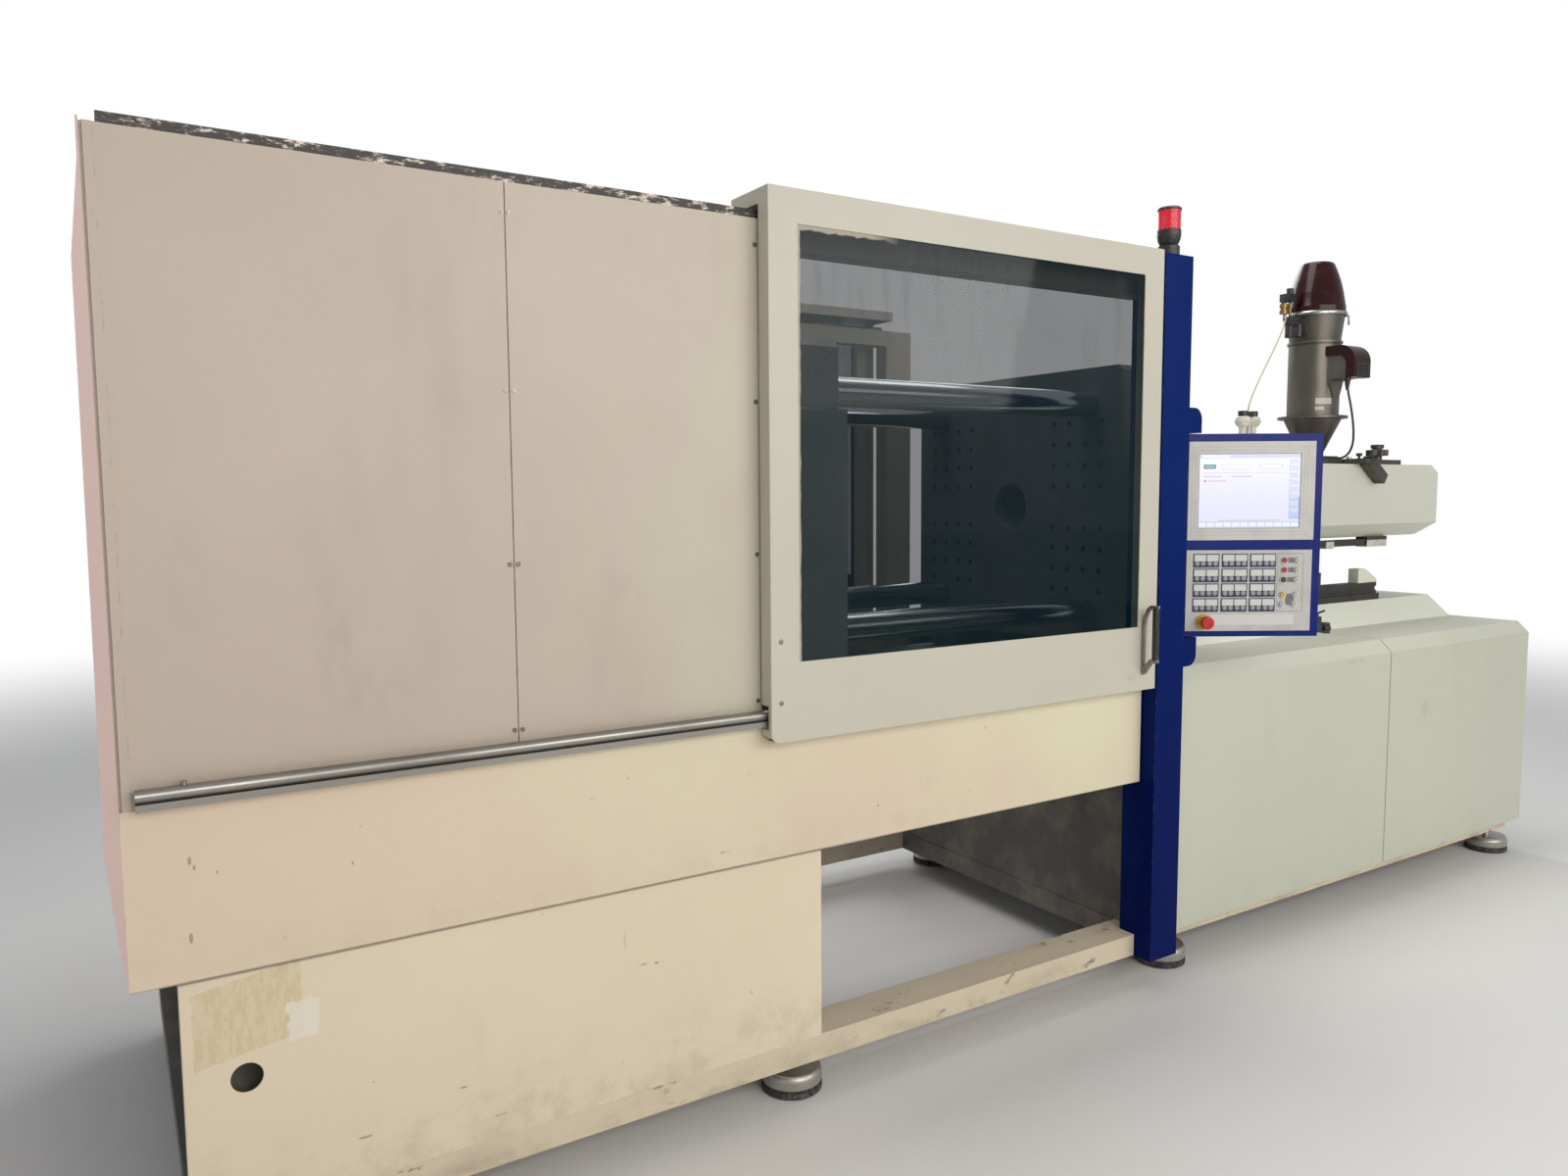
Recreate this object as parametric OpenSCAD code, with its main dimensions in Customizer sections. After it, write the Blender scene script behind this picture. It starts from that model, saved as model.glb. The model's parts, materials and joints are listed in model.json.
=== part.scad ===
// Injection moulding machine: clamping unit behind sliding guards on the left,
// injection unit with a hopper loader on the right, control panel on a blue column.
// The model is laid out from its left end, its apron face and the floor, and is then
// moved so that its origin is the centre of the floor under its outer box.

/* [Machine bed] */
// Length over all, from the end cover to the end of the injection cabinet
machine_len = 5172; // [5000:1:5400]
// Width over the aprons
body_w = 1370; // [1330:5:1440]
// Underside of the bed beams above the floor
bed_gap = 98; // [80:1:120]
// Height of the bed beams
beam_h = 67; // [50:1:90]
// Width of the bed beams
beam_w = 120; // [90:5:150]
// Height of the guideways on which the platens stand
way_z = 960; // [940:5:975]
// Width of one guideway
way_w = 130; // [100:5:140]
// Diameter of a machine foot
foot_d = 160; // [120:5:180]
// Height of a foot's rubber pad
pad_h = 22; // [15:1:30]
// Height of a foot's steel cap
cap_h = 40; // [30:1:45]

/* [Clamp guards] */
// Top of the clamp guard above the floor
guard_h = 2193; // [2160:1:2230]
// Thickness of the sheet-metal covers
sheet_t = 3; // [2:0.5:4]
// Lower edge of the apron
apron_z = 659; // [620:1:700]
// Height of the apron
apron_h = 336; // [300:1:350]
// Depth of the folded edges of a cover
fold_d = 40; // [25:1:60]
// Place of the seam between the two guard panels
seam_x = 759; // [600:1:900]
// Gap at a seam between two covers
seam_gap = 2; // [1:0.5:4]
// How far the base panels stand back from the apron
base_recess = 10; // [6:1:20]
// Diameter of the cable hole in the front base panel
cable_hole_d = 58; // [40:1:80]
// How far the end cover bulges beyond the corner posts
end_bulge = 26; // [20:1:40]
// Width of a corner post
post_w = 20; // [16:1:30]

/* [Guard doors] */
// Distance from the left end to a closed door
door_x = 1356; // [1340:1:1400]
// Width of a door
door_w = 1358; // [1330:1:1370]
// Lower edge of a door
door_z = 959; // [950:1:970]
// How far a door's top stands above the guard's top edge
door_over = 66; // [56:1:80]
// How far a door stands in front of the apron
door_proud = 51; // [45:1:60]
// Depth of a door's folded frame
door_d = 45; // [40:1:48]
// Width of the frame at the two upright sides of the window
door_stile = 80; // [70:1:110]
// Width of the frame above the window
door_top = 80; // [70:1:110]
// Width of the frame below the window
door_bottom = 192; // [180:1:230]
// Thickness of the window pane
pane_t = 6; // [4:1:10]
// Diameter of the tube on which a door runs
rail_d = 26; // [22:1:28]
// Height of the profile on which the top of a door runs
top_rail_h = 22; // [18:1:24]
// Travel of a door
door_travel = 1210; // [1000:5:1210]

/* [Clamping unit] */
// Height of the machine's centre line
axis_z = 1502; // [1490:1:1520]
// Distance between tie bars across the machine
tie_pitch_y = 730; // [700:1:760]
// Distance between tie bars in height
tie_pitch_z = 670; // [640:1:690]
// Diameter of a tie bar
tie_d = 85; // [70:1:95]
// Width of the platens
platen_w = 1008; // [980:2:1040]
// Height of the platens
platen_h = 912; // [890:2:930]
// Thickness of the platens
platen_t = 250; // [220:5:280]
// Mould face of the fixed platen, from the left end
fixed_x = 2812; // [2800:1:2830]
// Opening between the platens when the clamp is open
daylight = 1100; // [1050:5:1130]
// Stroke of the moving platen
clamp_stroke = 850; // [600:5:860]
// Diameter of the locating bore for a mould's centring ring
locate_d = 160; // [125:5:200]
// Depth of the locating bore
locate_len = 40; // [25:5:60]
// Spacing of the mould fixing holes
hole_pitch = 70; // [65:1:75]
// Diameter of a mould fixing hole
hole_d = 20; // [16:1:24]
// Depth of a mould fixing hole
hole_len = 45; // [30:1:60]
// Diameter of the clamping ram
ram_d = 380; // [340:5:420]
// Diameter of the ejector rods
rod_d = 30; // [24:1:40]
// Travel of the ejector
eject_stroke = 110; // [80:1:112]

/* [Injection unit] */
// Height of the injection cabinet's flat top
cabinet_h = 989; // [975:1:1010]
// How far the cabinet front stands back from the apron
cabinet_recess = 17; // [10:1:25]
// Size of the chamfer along the cabinet's top edge
cabinet_chamfer = 45; // [30:1:60]
// Lower edge of the cabinet panels
cabinet_z = 135; // [125:1:150]
// Seam between the two cabinet panels, from the machine's right end
seam_inset = 1048; // [900:1:1150]
// Height of the raised cover under the injection unit
riser_h = 94; // [80:1:110]
// Length of the injection housing
housing_l = 1202; // [1180:1:1230]
// Width of the injection housing
housing_w = 600; // [560:5:640]
// Height of the injection housing
housing_h = 307; // [295:1:320]
// Right end of the housing, from the machine's right end
housing_inset = 70; // [60:1:90]
// Diameter of the plasticising barrel
barrel_d = 130; // [120:2:136]
// Diameter of the screw
screw_d = 55; // [45:1:65]
// Injection stroke of the screw
inject_stroke = 220; // [150:5:225]
// How far the nozzle is drawn back from the mould face
nozzle_back = 68; // [60:1:80]
// How far the carriage can be drawn back from rest
carriage_back = 250; // [100:5:250]
// Centre of the hopper, from the machine's right end
hopper_inset = 555; // [540:1:570]
// Diameter of the hopper
hopper_d = 211; // [200:1:230]
// Diameter of the flange between hopper and cone
flange_d = 284; // [275:1:300]
// Top of the hopper's lid above the floor
lid_top = 2540; // [2500:1:2580]

/* [Control panel] */
// Width of the blue column
column_w = 122; // [100:1:140]
// Top of the blue column
column_h = 2252; // [2235:1:2300]
// Diameter of the signal lamp
lamp_d = 70; // [50:1:80]
// Height of the signal lamp
lamp_h = 149; // [130:1:170]
// Width of the panel case
panel_w = 444; // [430:1:460]
// Height of the panel case
panel_h = 626; // [610:1:650]
// Thickness of the panel case
panel_t = 55; // [50:1:56]
// Lower edge of the panel case
panel_z = 1102; // [1095:1:1110]
// How far the panel stands swung out from the machine's front
panel_angle = 32; // [20:1:40]
// Diameter of the emergency stop button
stop_d = 40; // [30:1:45]
// Travel of the emergency stop button
stop_travel = 5; // [3:1:6]

/* [Hidden] */
$fn = 48;
eps = 0.01;

// Clearances
slide_gap = 0.3;      // between a sliding piece and its way
run_gap = 0.08;       // radial gap of a shaft in its bore

// Machine centre plane and the clamp layout, all from the left end
mid_y = body_w / 2;
clamp_x = end_bulge;
door_h = guard_h + door_over - door_z;
clamp_end = door_x + door_w + 2;
panel_left = clamp_x + post_w;
panel_right = door_x + 6;
rail_left = panel_left + 5;
column_x = clamp_end + 6;
column_end = column_x + column_w;
apron_top = apron_z + apron_h;
ledge_top = apron_top + 15;
rail_z = ledge_top + rail_d / 2;
rail_y = -4 - rail_d / 2;
ledge_h = 12;
panel_bottom = apron_top + 8;
bed_top = bed_gap + beam_h;
base_x = clamp_x + 77;
opening_x = base_x + 1434;
feet_x = [base_x + 90, opening_x - 38, column_end + 106, machine_len - 108];
beam_end = machine_len - 45;
cabinet_seam = machine_len - seam_inset;
hopper_x = machine_len - hopper_inset;
post_y = 72;
foot_y = base_recess + 86;

// Platens
platen_y = mid_y - platen_w / 2;
platen_z = axis_z - platen_h / 2;
moving_face = fixed_x - daylight;
moving_back = moving_face - platen_t;
spacer_l = 200;
flange_t = 40;
ram_front = moving_back - spacer_l;
cylinder_gap = 122;
cylinder_face = ram_front - cylinder_gap;
cylinder_back = cylinder_face - platen_t;
cylinder_end = 130;
nut_l = 80;
nut_d = tie_d * 1.7;
tie_start = cylinder_back - nut_l - 10;
tie_end = fixed_x + platen_t + nut_l + 10;
way_y = mid_y - tie_pitch_y / 2 - way_w / 2;

// Injection unit
barrel_x = fixed_x + platen_t - 5;
nozzle_tip = fixed_x + nozzle_back;
feed_x = hopper_x - 100;
feed_end = hopper_x + 15;
screw_tip = barrel_x + inject_stroke + 5;
drive_x = feed_end + inject_stroke + 10;
drive_l = 200;
housing_end = machine_len - housing_inset;
housing_x = housing_end - housing_l;
housing_y = mid_y - housing_w / 2;
housing_z = axis_z - 149;
housing_top = housing_z + housing_h;
riser_top = cabinet_h + riser_h;
riser_y = mid_y - 350;
riser_top_y = mid_y - 285;
riser_x = fixed_x + platen_t + 62;
rail_x0 = column_end + 480;
rail_x1 = machine_len - 448;
saddle_x = [rail_x0 + 236, housing_x + 200];
saddle_l = 170;
guide_y = [mid_y - 235, mid_y + 235];
guide_base_h = 25;
guide_h = 72;
guide_top = riser_top + guide_h;

// Hopper, from the top of the injection housing upwards
gate_t = 6;
base_plate_t = 22;
cone_z = housing_top + base_plate_t;
flange_z = cone_z + 184;
ring_z = flange_z + 329;
neck_top = ring_z + 115;
lid_z = neck_top + 18;
neck_r = [hopper_d / 2 - 2, hopper_d / 2 + 10.5];     // the neck widens upwards
lid_d = hopper_d + 27;

// Control panel
pivot = [column_end + 40, -5];
panel_u = -25;                // case's left edge, from the pivot
panel_v = -25;                // case's front face, from the pivot
plate_u = panel_u + 28;       // left edge of the two front plates
stop_u = plate_u + 56;
stop_z = panel_z + 47;
knob_d = 38;
panel_tip = panel_u + panel_w + 45;
web_t = 6;
pin_d = 16;

// Origin: centre of the outer box, on the floor
front_y = pivot[1] - panel_tip * sin(panel_angle) - knob_d / 2 * cos(panel_angle);
handle_out = 58;
back_y = body_w + door_proud + handle_out;
origin = [machine_len / 2, (front_y + back_y) / 2, 0];

// Moves a shape from the layout frame to the model's own origin
module place() {
    translate(-origin) children();
}

// Repeats a shape on the rear side, mirrored at the machine's centre plane
module both_sides() {
    children();
    rear_side() children();
}

module rear_side() {
    translate([0, body_w, 0]) mirror([0, 1, 0]) children();
}

// Box from its two opposite corners
module box(a, b) {
    translate(a) cube(b - a);
}

// Cylinder along X from x0 to x1
module rod_x(x0, x1, d, y, z) {
    translate([x0, y, z]) rotate([0, 90, 0]) cylinder(d = d, h = x1 - x0);
}

// Folded sheet cover: a shallow tray whose open side faces +Y
module tray(a, b, t) {
    difference() {
        box(a, b);
        box(a + [t, t, t], [b[0] - t, b[1] + 1, b[2] - t]);
    }
}

// Profile drawn in the Y-Z plane, extruded along X from x0 to x1
module along_x(x0, x1) {
    translate([x0, 0, 0]) rotate([90, 0, 90]) linear_extrude(x1 - x0) children();
}

// Profile drawn in the X-Z plane, extruded along Y from y0 to y1
module along_y(y0, y1) {
    translate([0, y1, 0]) rotate([90, 0, 0]) linear_extrude(y1 - y0) children();
}

// Machine bed

module bed_frame() {
    y0 = base_recess + 3;
    post_x = [base_x + 40, opening_x - 160, column_x + 45];
    color("gray") place() {
        both_sides() {
            box([base_x, y0, bed_gap], [column_end, y0 + beam_w, bed_top]);
            box([column_end - eps, cabinet_recess + 33, bed_gap], [beam_end, y0 + beam_w, bed_top]);
            // guideway beam under the platens and the posts that carry it
            box([base_x, way_y, way_z - 220], [riser_x - 2, way_y + way_w, way_z]);
            for (x = post_x)
                box([x, post_y, bed_top - eps], [x + 110, way_y + way_w, way_z - 219]);
            // wall of the injection bed under a carriage rail
            box([riser_x + 6, riser_top_y + 20, bed_top - eps],
                [rail_x1 + 60, riser_top_y + 100, riser_top - 3]);
        }
        for (x = [base_x, opening_x - beam_w, column_x + 40, cabinet_seam - beam_w / 2,
                  beam_end - beam_w])
            box([x, y0 + beam_w - eps, bed_gap], [x + beam_w, body_w - y0 - beam_w + eps, bed_top]);
        // cross beams between the two guideways
        for (x = post_x)
            box([x, way_y + way_w - eps, way_z - 200],
                [x + 110, body_w - way_y - way_w + eps, way_z - 60]);
        // wall between the drop-out opening and the injection bed
        box([column_x + 46, way_y + way_w - eps, bed_top - eps],
            [column_x + 52, body_w - way_y - way_w + eps, way_z - 199]);
        for (x = [riser_x + 6, cabinet_seam - 60, rail_x1])
            box([x, riser_top_y + 99, bed_top - eps],
                [x + 60, body_w - riser_top_y - 99, riser_top - 80]);
    }
}

module foot_mounts() {
    color("darkgray") place()
        for (x = feet_x, y = [foot_y, body_w - foot_y]) translate([x, y, 0]) {
            translate([0, 0, pad_h]) rotate_extrude() {
                square([foot_d / 2 - 6, cap_h]);
                translate([0, 6]) square([foot_d / 2, cap_h - 22]);
                translate([foot_d / 2 - 16, cap_h - 16]) circle(16);
                translate([foot_d / 2 - 6, 6]) circle(6);
            }
            translate([0, 0, pad_h + cap_h - eps]) cylinder(d = 24, h = bed_gap - pad_h - cap_h + eps);
            translate([0, 0, bed_gap - 20]) cylinder(d = 42, h = 20, $fn = 6);
        }
}

module foot_pads() {
    color("black") place()
        for (x = feet_x, y = [foot_y, body_w - foot_y]) translate([x, y, 0])
            rotate_extrude() {
                square([foot_d / 2 - 4, pad_h]);
                translate([0, 4]) square([foot_d / 2, pad_h - 8]);
            }
}

module base_panels() {
    color("cornsilk") place() {
        difference() {
            tray([base_x, base_recess, bed_top], [opening_x, base_recess + fold_d, apron_z - 4], sheet_t);
            translate([base_x + 107, 0, bed_top + 279]) rotate([-90, 0, 0])
                cylinder(d = cable_hole_d, h = 100);
        }
        rear_side()
            tray([base_x, base_recess, bed_top], [opening_x, base_recess + fold_d, apron_z - 4], sheet_t);
    }
}

module aprons() {
    color("cornsilk") place() both_sides()
        tray([clamp_x, 0, apron_z], [clamp_end, fold_d + 20, apron_top], sheet_t);
}

module guard_panels() {
    color("cornsilk") place() both_sides() {
        tray([panel_left, sheet_t, panel_bottom], [seam_x - seam_gap / 2, fold_d, guard_h], sheet_t);
        tray([seam_x + seam_gap / 2, sheet_t, panel_bottom], [panel_right, fold_d, guard_h], sheet_t);
    }
}

// Welded guard frame: corner posts, door posts and the headers over the doors
module guard_frame() {
    color("cornsilk") place() {
        both_sides() {
            // corner post with its recessed strip beside the end cover
            box([clamp_x, 6, apron_top], [clamp_x + 6, fold_d + 20, guard_h]);
            box([clamp_x + 5, 0, apron_top], [panel_left, fold_d + 20, guard_h]);
            box([panel_left - eps, fold_d, apron_top], [panel_left + 40, fold_d + 20, guard_h]);
            // door post, header and sill
            box([panel_right - 50, fold_d, apron_top], [panel_right, fold_d + 60, guard_h]);
            box([panel_left, fold_d, guard_h - 60], [column_x, fold_d + 40, guard_h]);
            box([panel_right + 2, 12, guard_h - 60], [column_x, fold_d + eps, guard_h]);
            box([panel_left, sheet_t, apron_top], [column_x, fold_d + 20, panel_bottom]);
        }
        // rear post, where the front has the control column
        rear_side() box([column_x - eps, sheet_t, bed_top], [column_end, 70, guard_h]);
    }
}

// End cover, folded outwards between two slopes
module end_cover() {
    color("mistyrose") place() difference() {
        along_y(0, body_w) end_outline(0);
        along_y(sheet_t, body_w - sheet_t) end_outline(sheet_t);
    }
}

module end_outline(t) {
    x_in = end_bulge + (t > 0 ? 1 : 0);
    polygon([
        [x_in, apron_z + 9 + t], [end_bulge - 3 + t, apron_z + 11 + t], [t, 905 + t / 3], [t, 905 + t],
        [5 + t, 1963], [min(22 + t, end_bulge), 2134], [min(22 + t, end_bulge), guard_h + 6 - t],
        [x_in, guard_h + 6 - t]
    ]);
}

module guard_roof() {
    color("cornsilk") place()
        translate([0, 0, guard_h]) mirror([0, 0, 1])
            difference() {
                box([panel_left, fold_d + 40, 0], [panel_right - 50, body_w - fold_d - 40, fold_d]);
                box([panel_left + sheet_t, fold_d + 40 + sheet_t, sheet_t],
                    [panel_right - 50 - sheet_t, body_w - fold_d - 40 - sheet_t, fold_d + 1]);
            }
}

module top_rails() {
    color("dimgray") place() both_sides() along_x(rail_left, column_x - 2) {
        translate([12, guard_h]) square([30, 6]);
        translate([12, guard_h]) square([6, top_rail_h]);
        translate([36, guard_h]) square([6, top_rail_h - 5]);
    }
}

module bottom_rails() {
    color("silver") place() both_sides() {
        rod_x(rail_left, column_x - 5, rail_d, rail_y, rail_z);
        // seat strip under the tube
        box([rail_left, rail_y - 14, ledge_top - ledge_h], [column_x - 5, sheet_t, ledge_top + 1]);
        // end clips
        for (x = [rail_left + 78, column_x - 60])
            translate([x, rail_y, rail_z]) cylinder(d = 10, h = rail_d / 2 + 7);
    }
}

module panel_screws() {
    head_z = [apron_top + 62, 1410, 1770, guard_h - 61];
    color("darkgray") place() both_sides()
        for (x = [seam_x - 8.5, seam_x + 8.5, panel_right - 11], z = head_z)
            translate([x, sheet_t, z]) rotate([90, 0, 0]) {
                cylinder(d = 11, h = 1.2);
                cylinder(d1 = 9, d2 = 5, h = 2.2);
            }
}

// Guard doors: a folded frame with a hood that reaches back over the top rail

module door_shape() {
    x1 = door_x + door_w;
    y0 = -door_proud;
    top = door_z + door_h;
    hood_y = 119;
    difference() {
        union() {
            intersection() {
                tray([door_x, y0, door_z], [x1, y0 + door_d, top], sheet_t);
                // rounded lower corner at the edge that faces the guard panels
                along_y(y0 - 1, y0 + door_d + 1) {
                    translate([door_x + 24, door_z]) square([door_w - 24, door_h]);
                    translate([door_x, door_z + 24]) square([door_w, door_h - 24]);
                    translate([door_x + 24, door_z + 24]) circle(24);
                }
            }
            // frame of the window
            box([door_x + door_stile - 12, y0 + 1, door_z + door_bottom - 12],
                [x1 - door_stile + 12, y0 + door_d - 12, top - door_top + 12]);
            // hood over the top rail
            difference() {
                box([door_x, y0 + door_d - 1, top - 34], [x1, hood_y, top]);
                box([door_x + sheet_t, y0, top - 35], [x1 - sheet_t, hood_y - sheet_t, top - sheet_t]);
            }
        }
        // window opening and the rebate behind it
        box([door_x + door_stile, y0 - 1, door_z + door_bottom],
            [x1 - door_stile, y0 + door_d + 1, top - door_top]);
        box([door_x + door_stile - 8, y0 + sheet_t, door_z + door_bottom - 8],
            [x1 - door_stile + 8, y0 + door_d + 1, top - door_top + 8]);
        // the sides are notched for the tube
        box([door_x - 1, rail_y - rail_d / 2 - 8, ledge_top - ledge_h - 8],
            [x1 + 1, 0, rail_z + rail_d / 2 + 12]);
    }
}

module door_pane() {
    box([door_x + door_stile - 8, sheet_t - door_proud, door_z + door_bottom - 8],
        [door_x + door_w - door_stile + 8, sheet_t - door_proud + pane_t,
         door_z + door_h - door_top + 8]);
}

grip_out = handle_out - 10;
grip_pos = [door_x + door_w - 59, -door_proud - grip_out];
grip_z = door_z + 98;
grip_h = 152;

// Flat bar bent out from the door, with the grip upright between its ends
module door_handle() {
    z1 = grip_z + grip_h;
    tip = handle_out;
    translate([grip_pos[0] + 5, -door_proud, 0]) rotate([90, 0, -90]) linear_extrude(10)
        polygon([
            [0, grip_z - 37], [4, grip_z - 49], [11, grip_z - 49], [38, grip_z - 12], [tip, grip_z - 9],
            [tip, grip_z], [32, grip_z], [8, grip_z - 26], [8, z1 - 60], [15, z1 - 28], [26, z1 - 8],
            [34, z1], [tip, z1], [tip, z1 + 8], [30, z1 + 8], [18, z1 - 2], [7, z1 - 24], [0, z1 - 56]]);
}

// Grip; in one solid with its bar it reaches a little way into the bar's two ends
module door_grip(into) {
    translate([grip_pos[0], grip_pos[1], grip_z - into]) cylinder(d = 20, h = grip_h + 2 * into);
}

// Plastic runners that sit on the tube inside the door
module door_guides() {
    for (x = [door_x + 90, door_x + door_w - 190]) {
        difference() {
            box([x, -door_proud + sheet_t, ledge_top + 4],
                [x + 100, rail_y + rail_d / 2 - 1, rail_z + rail_d / 2 + 30]);
            rod_x(x - 1, x + 101, rail_d + 2 * slide_gap, rail_y, rail_z);
            box([x - 1, rail_y - rail_d / 2 - slide_gap, ledge_top], [x + 101, 1, rail_z]);
        }
        // shoe that runs in the channel of the top rail
        box([x, 18 + slide_gap, guard_h + 9], [x + 100, 36 - slide_gap, door_z + door_h - sheet_t]);
    }
}

module operator_door() { color("antiquewhite") place() door_shape(); }
module operator_window() { color("lightsteelblue") place() door_pane(); }
module operator_handle() { color("gray") place() door_handle(); }
module operator_grip() { color("black") place() door_grip(0); }
module operator_guides() { color("white") place() door_guides(); }
module rear_door() { color("antiquewhite") place() rear_side() door_shape(); }
module rear_window() { color("lightsteelblue") place() rear_side() door_pane(); }
module rear_handle() {
    color("gray") place() rear_side() {
        door_handle();
        door_grip(3);
    }
}
module rear_guides() { color("white") place() rear_side() door_guides(); }

// Control column, lamp and panel

module control_column() {
    color("royalblue") place() difference() {
        box([column_x, -door_proud, bed_gap], [column_end, 70, column_h]);
        box([column_x + 4, -door_proud + 4, bed_gap - 1], [column_end - 4, 66, column_h - 4]);
        // the lower part stands in front of the bed beam
        box([column_x - 1, base_recess + 3, bed_gap - 1], [column_end + 1, 71, bed_top]);
    }
}

lamp_pos = [column_x + 78, 5, column_h];

module lamp_housing() {
    r = lamp_d / 2;
    color("black") place() translate(lamp_pos) {
        cylinder(d = lamp_d - 6, h = 34);
        rotate_extrude()
            polygon([[0, 33], [r - 12, 33], [r - 6, 44], [r - 2, 54], [r, 64], [r, 82], [0, 82]]);
        translate([0, 0, lamp_h - 10]) cylinder(d = lamp_d, h = 6);
        translate([0, 0, lamp_h - 4]) cylinder(d1 = lamp_d, d2 = lamp_d - 10, h = 4);
    }
}

module lamp_lens() {
    color("red") place() translate(lamp_pos)
        translate([0, 0, 82]) cylinder(d = lamp_d - 4, h = lamp_h - 92);
}

// C-shaped bracket on the column; the panel turns on pins between its two arms
module swivel_bracket() {
    z0 = panel_z - 92;
    z1 = panel_z + panel_h + 79;
    arm = 73;
    r = 35;
    color("royalblue") place() {
        along_y(-40, 30) translate([column_end, 0]) {
            translate([0, z0]) square([web_t, z1 - z0]);
            translate([0, z0]) square([arm - r, 89]);
            translate([0, z0 + r]) square([arm, 89 - r]);
            translate([arm - r, z0 + r]) circle(r);
            translate([0, z1 - 76]) square([arm - r, 76]);
            translate([0, z1 - 76]) square([arm, 76 - r]);
            translate([arm - r, z1 - r]) circle(r);
        }
        translate([pivot[0], pivot[1], z0 + 88]) cylinder(d = 30, h = 4 - slide_gap);
        translate([pivot[0], pivot[1], z0 + 88]) cylinder(d = pin_d, h = 28);
        translate([pivot[0], pivot[1], z1 - 100]) cylinder(d = pin_d, h = 25);
    }
}

// Moves a shape from the panel's own frame (U to the right, V to the back) to its place
module on_panel() {
    place() translate([pivot[0], pivot[1], 0]) rotate([0, 0, -panel_angle]) children();
}

module panel_case() {
    r1 = 12;
    r2 = 20;
    v1 = panel_v + panel_t;
    u1 = panel_u + panel_w;
    color("navy") on_panel() difference() {
        translate([0, 0, panel_z]) linear_extrude(panel_h) {
            translate([panel_u + r2, panel_v]) square([panel_w - r2 - 6, panel_t]);
            translate([panel_u, panel_v + r1]) square([panel_w, panel_t - r1 - r2]);
            translate([panel_u + r1, panel_v]) square([r2, r1 + 1]);
            translate([panel_u + r1, panel_v + r1]) circle(r1);
            translate([panel_u + r2, v1 - r2]) circle(r2);
            for (v = [panel_v + 6, v1 - 6]) translate([u1 - 6, v]) circle(6);
            translate([u1 - 7, panel_v + 6]) square([7, panel_t - 12]);
        }
        translate([0, 0, panel_z - 1]) cylinder(d = pin_d + 2 * run_gap, h = 31);
        translate([0, 0, panel_z + panel_h - 26]) cylinder(d = pin_d + 2 * run_gap, h = 27);
    }
}

bezel_w = 389;
bezel_h = 302;
bezel_z = panel_z + panel_h - 24 - bezel_h;
keypad_z = panel_z + 18;
keypad_w = 387;
keypad_h = 251;
bezel_t = 6;
face_v = panel_v - bezel_t;

// Window of the display, as seen from the front: left, bottom, right, top
screen = [plate_u + 33, bezel_z + 37, plate_u + 344, bezel_z + 264];

module display_bezel() {
    color("gainsboro") on_panel() difference() {
        box([plate_u, face_v, bezel_z], [plate_u + bezel_w, panel_v, bezel_z + bezel_h]);
        box([screen[0], face_v - 1, screen[1]], [screen[2], panel_v + 1, screen[3]]);
    }
}

module display_screen() {
    color("white") on_panel()
        box([screen[0], panel_v - 3, screen[1]], [screen[2], panel_v, screen[3]]);
}

module keypad_plate() {
    color("gainsboro") on_panel()
        box([plate_u, face_v, keypad_z], [plate_u + keypad_w, panel_v, keypad_z + keypad_h]);
}

// Key blocks: two caps over four round keys in a dark frame
module key_block(u, z) {
    box([u, face_v - 1.2, z], [u + 80, face_v, z + 42]);
    for (c = [0:1]) {
        box([u + 3 + c * 38.5, face_v - 2, z + 19], [u + 38.5 + c * 38.5, face_v - 1.2, z + 39]);
        for (k = [0:1])
            translate([u + 12 + c * 38.5 + k * 18, face_v - 1.2, z + 12])
                rotate([90, 0, 0]) cylinder(d = 14, h = 1.6);
    }
}

cluster = [[302, 32], [302, 62], [300, 92], [299, 139], [342, 32], [341, 62], [340, 92],
           [338, 139], [297, 168], [335, 168]];

module keypad_keys() {
    top = keypad_z + keypad_h;
    color("navy") on_panel() {
        for (u = [21, 109, 196], r = [0:3]) key_block(plate_u + u, top - 53 - r * 46);
        for (b = cluster) translate([plate_u + b[0], face_v, top - b[1]]) rotate([90, 0, 0]) {
            cylinder(d = 22, h = 3);
            cylinder(d = 15, h = 6);
        }
    }
}

module estop_collar() {
    color("yellow") on_panel() translate([stop_u, face_v, stop_z]) rotate([90, 0, 0])
        difference() {
            union() {
                cylinder(d = stop_d + 6, h = 6);
                translate([0, 0, 5]) cylinder(d1 = stop_d + 2, d2 = stop_d - 6, h = 16);
            }
            translate([0, 0, -1]) cylinder(d = 22 + 2 * run_gap, h = 30);
        }
}

module estop_button() {
    color("red") on_panel() translate([stop_u, face_v, stop_z]) rotate([90, 0, 0]) {
        translate([0, 0, stop_travel + slide_gap]) cylinder(d = 22, h = 22);
        translate([0, 0, 21 + stop_travel + slide_gap]) rotate_extrude() {
            square([stop_d / 2 - 5, 17]);
            translate([0, 3]) square([stop_d / 2, 9]);
            translate([stop_d / 2 - 5, 12]) circle(5);
        }
    }
}

// Clamp with a star knob at the case's free edge
module panel_clamp() {
    u1 = panel_u + panel_w;
    color("black") on_panel() translate([0, 0, panel_z + 22]) {
        box([u1, -10, -14], [u1 + 18, 10, 36]);
        translate([u1 + 17, 0, 0]) rotate([0, 90, 0]) cylinder(d = 14, h = 12);
        translate([panel_tip - 18, 0, 0]) rotate([0, 90, 0]) {
            cylinder(d = 28, h = 18);
            for (a = [30:60:359]) rotate([0, 0, a]) translate([knob_d / 2 - 5, 0, 0]) cylinder(d = 10, h = 18);
        }
        translate([u1 + 9, 0, 35]) cylinder(d = 8, h = 14);
        translate([u1 + 9, 0, 46]) rotate([0, 70, 0]) cylinder(d = 7, h = 24);
    }
}

// Injection cabinet

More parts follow.
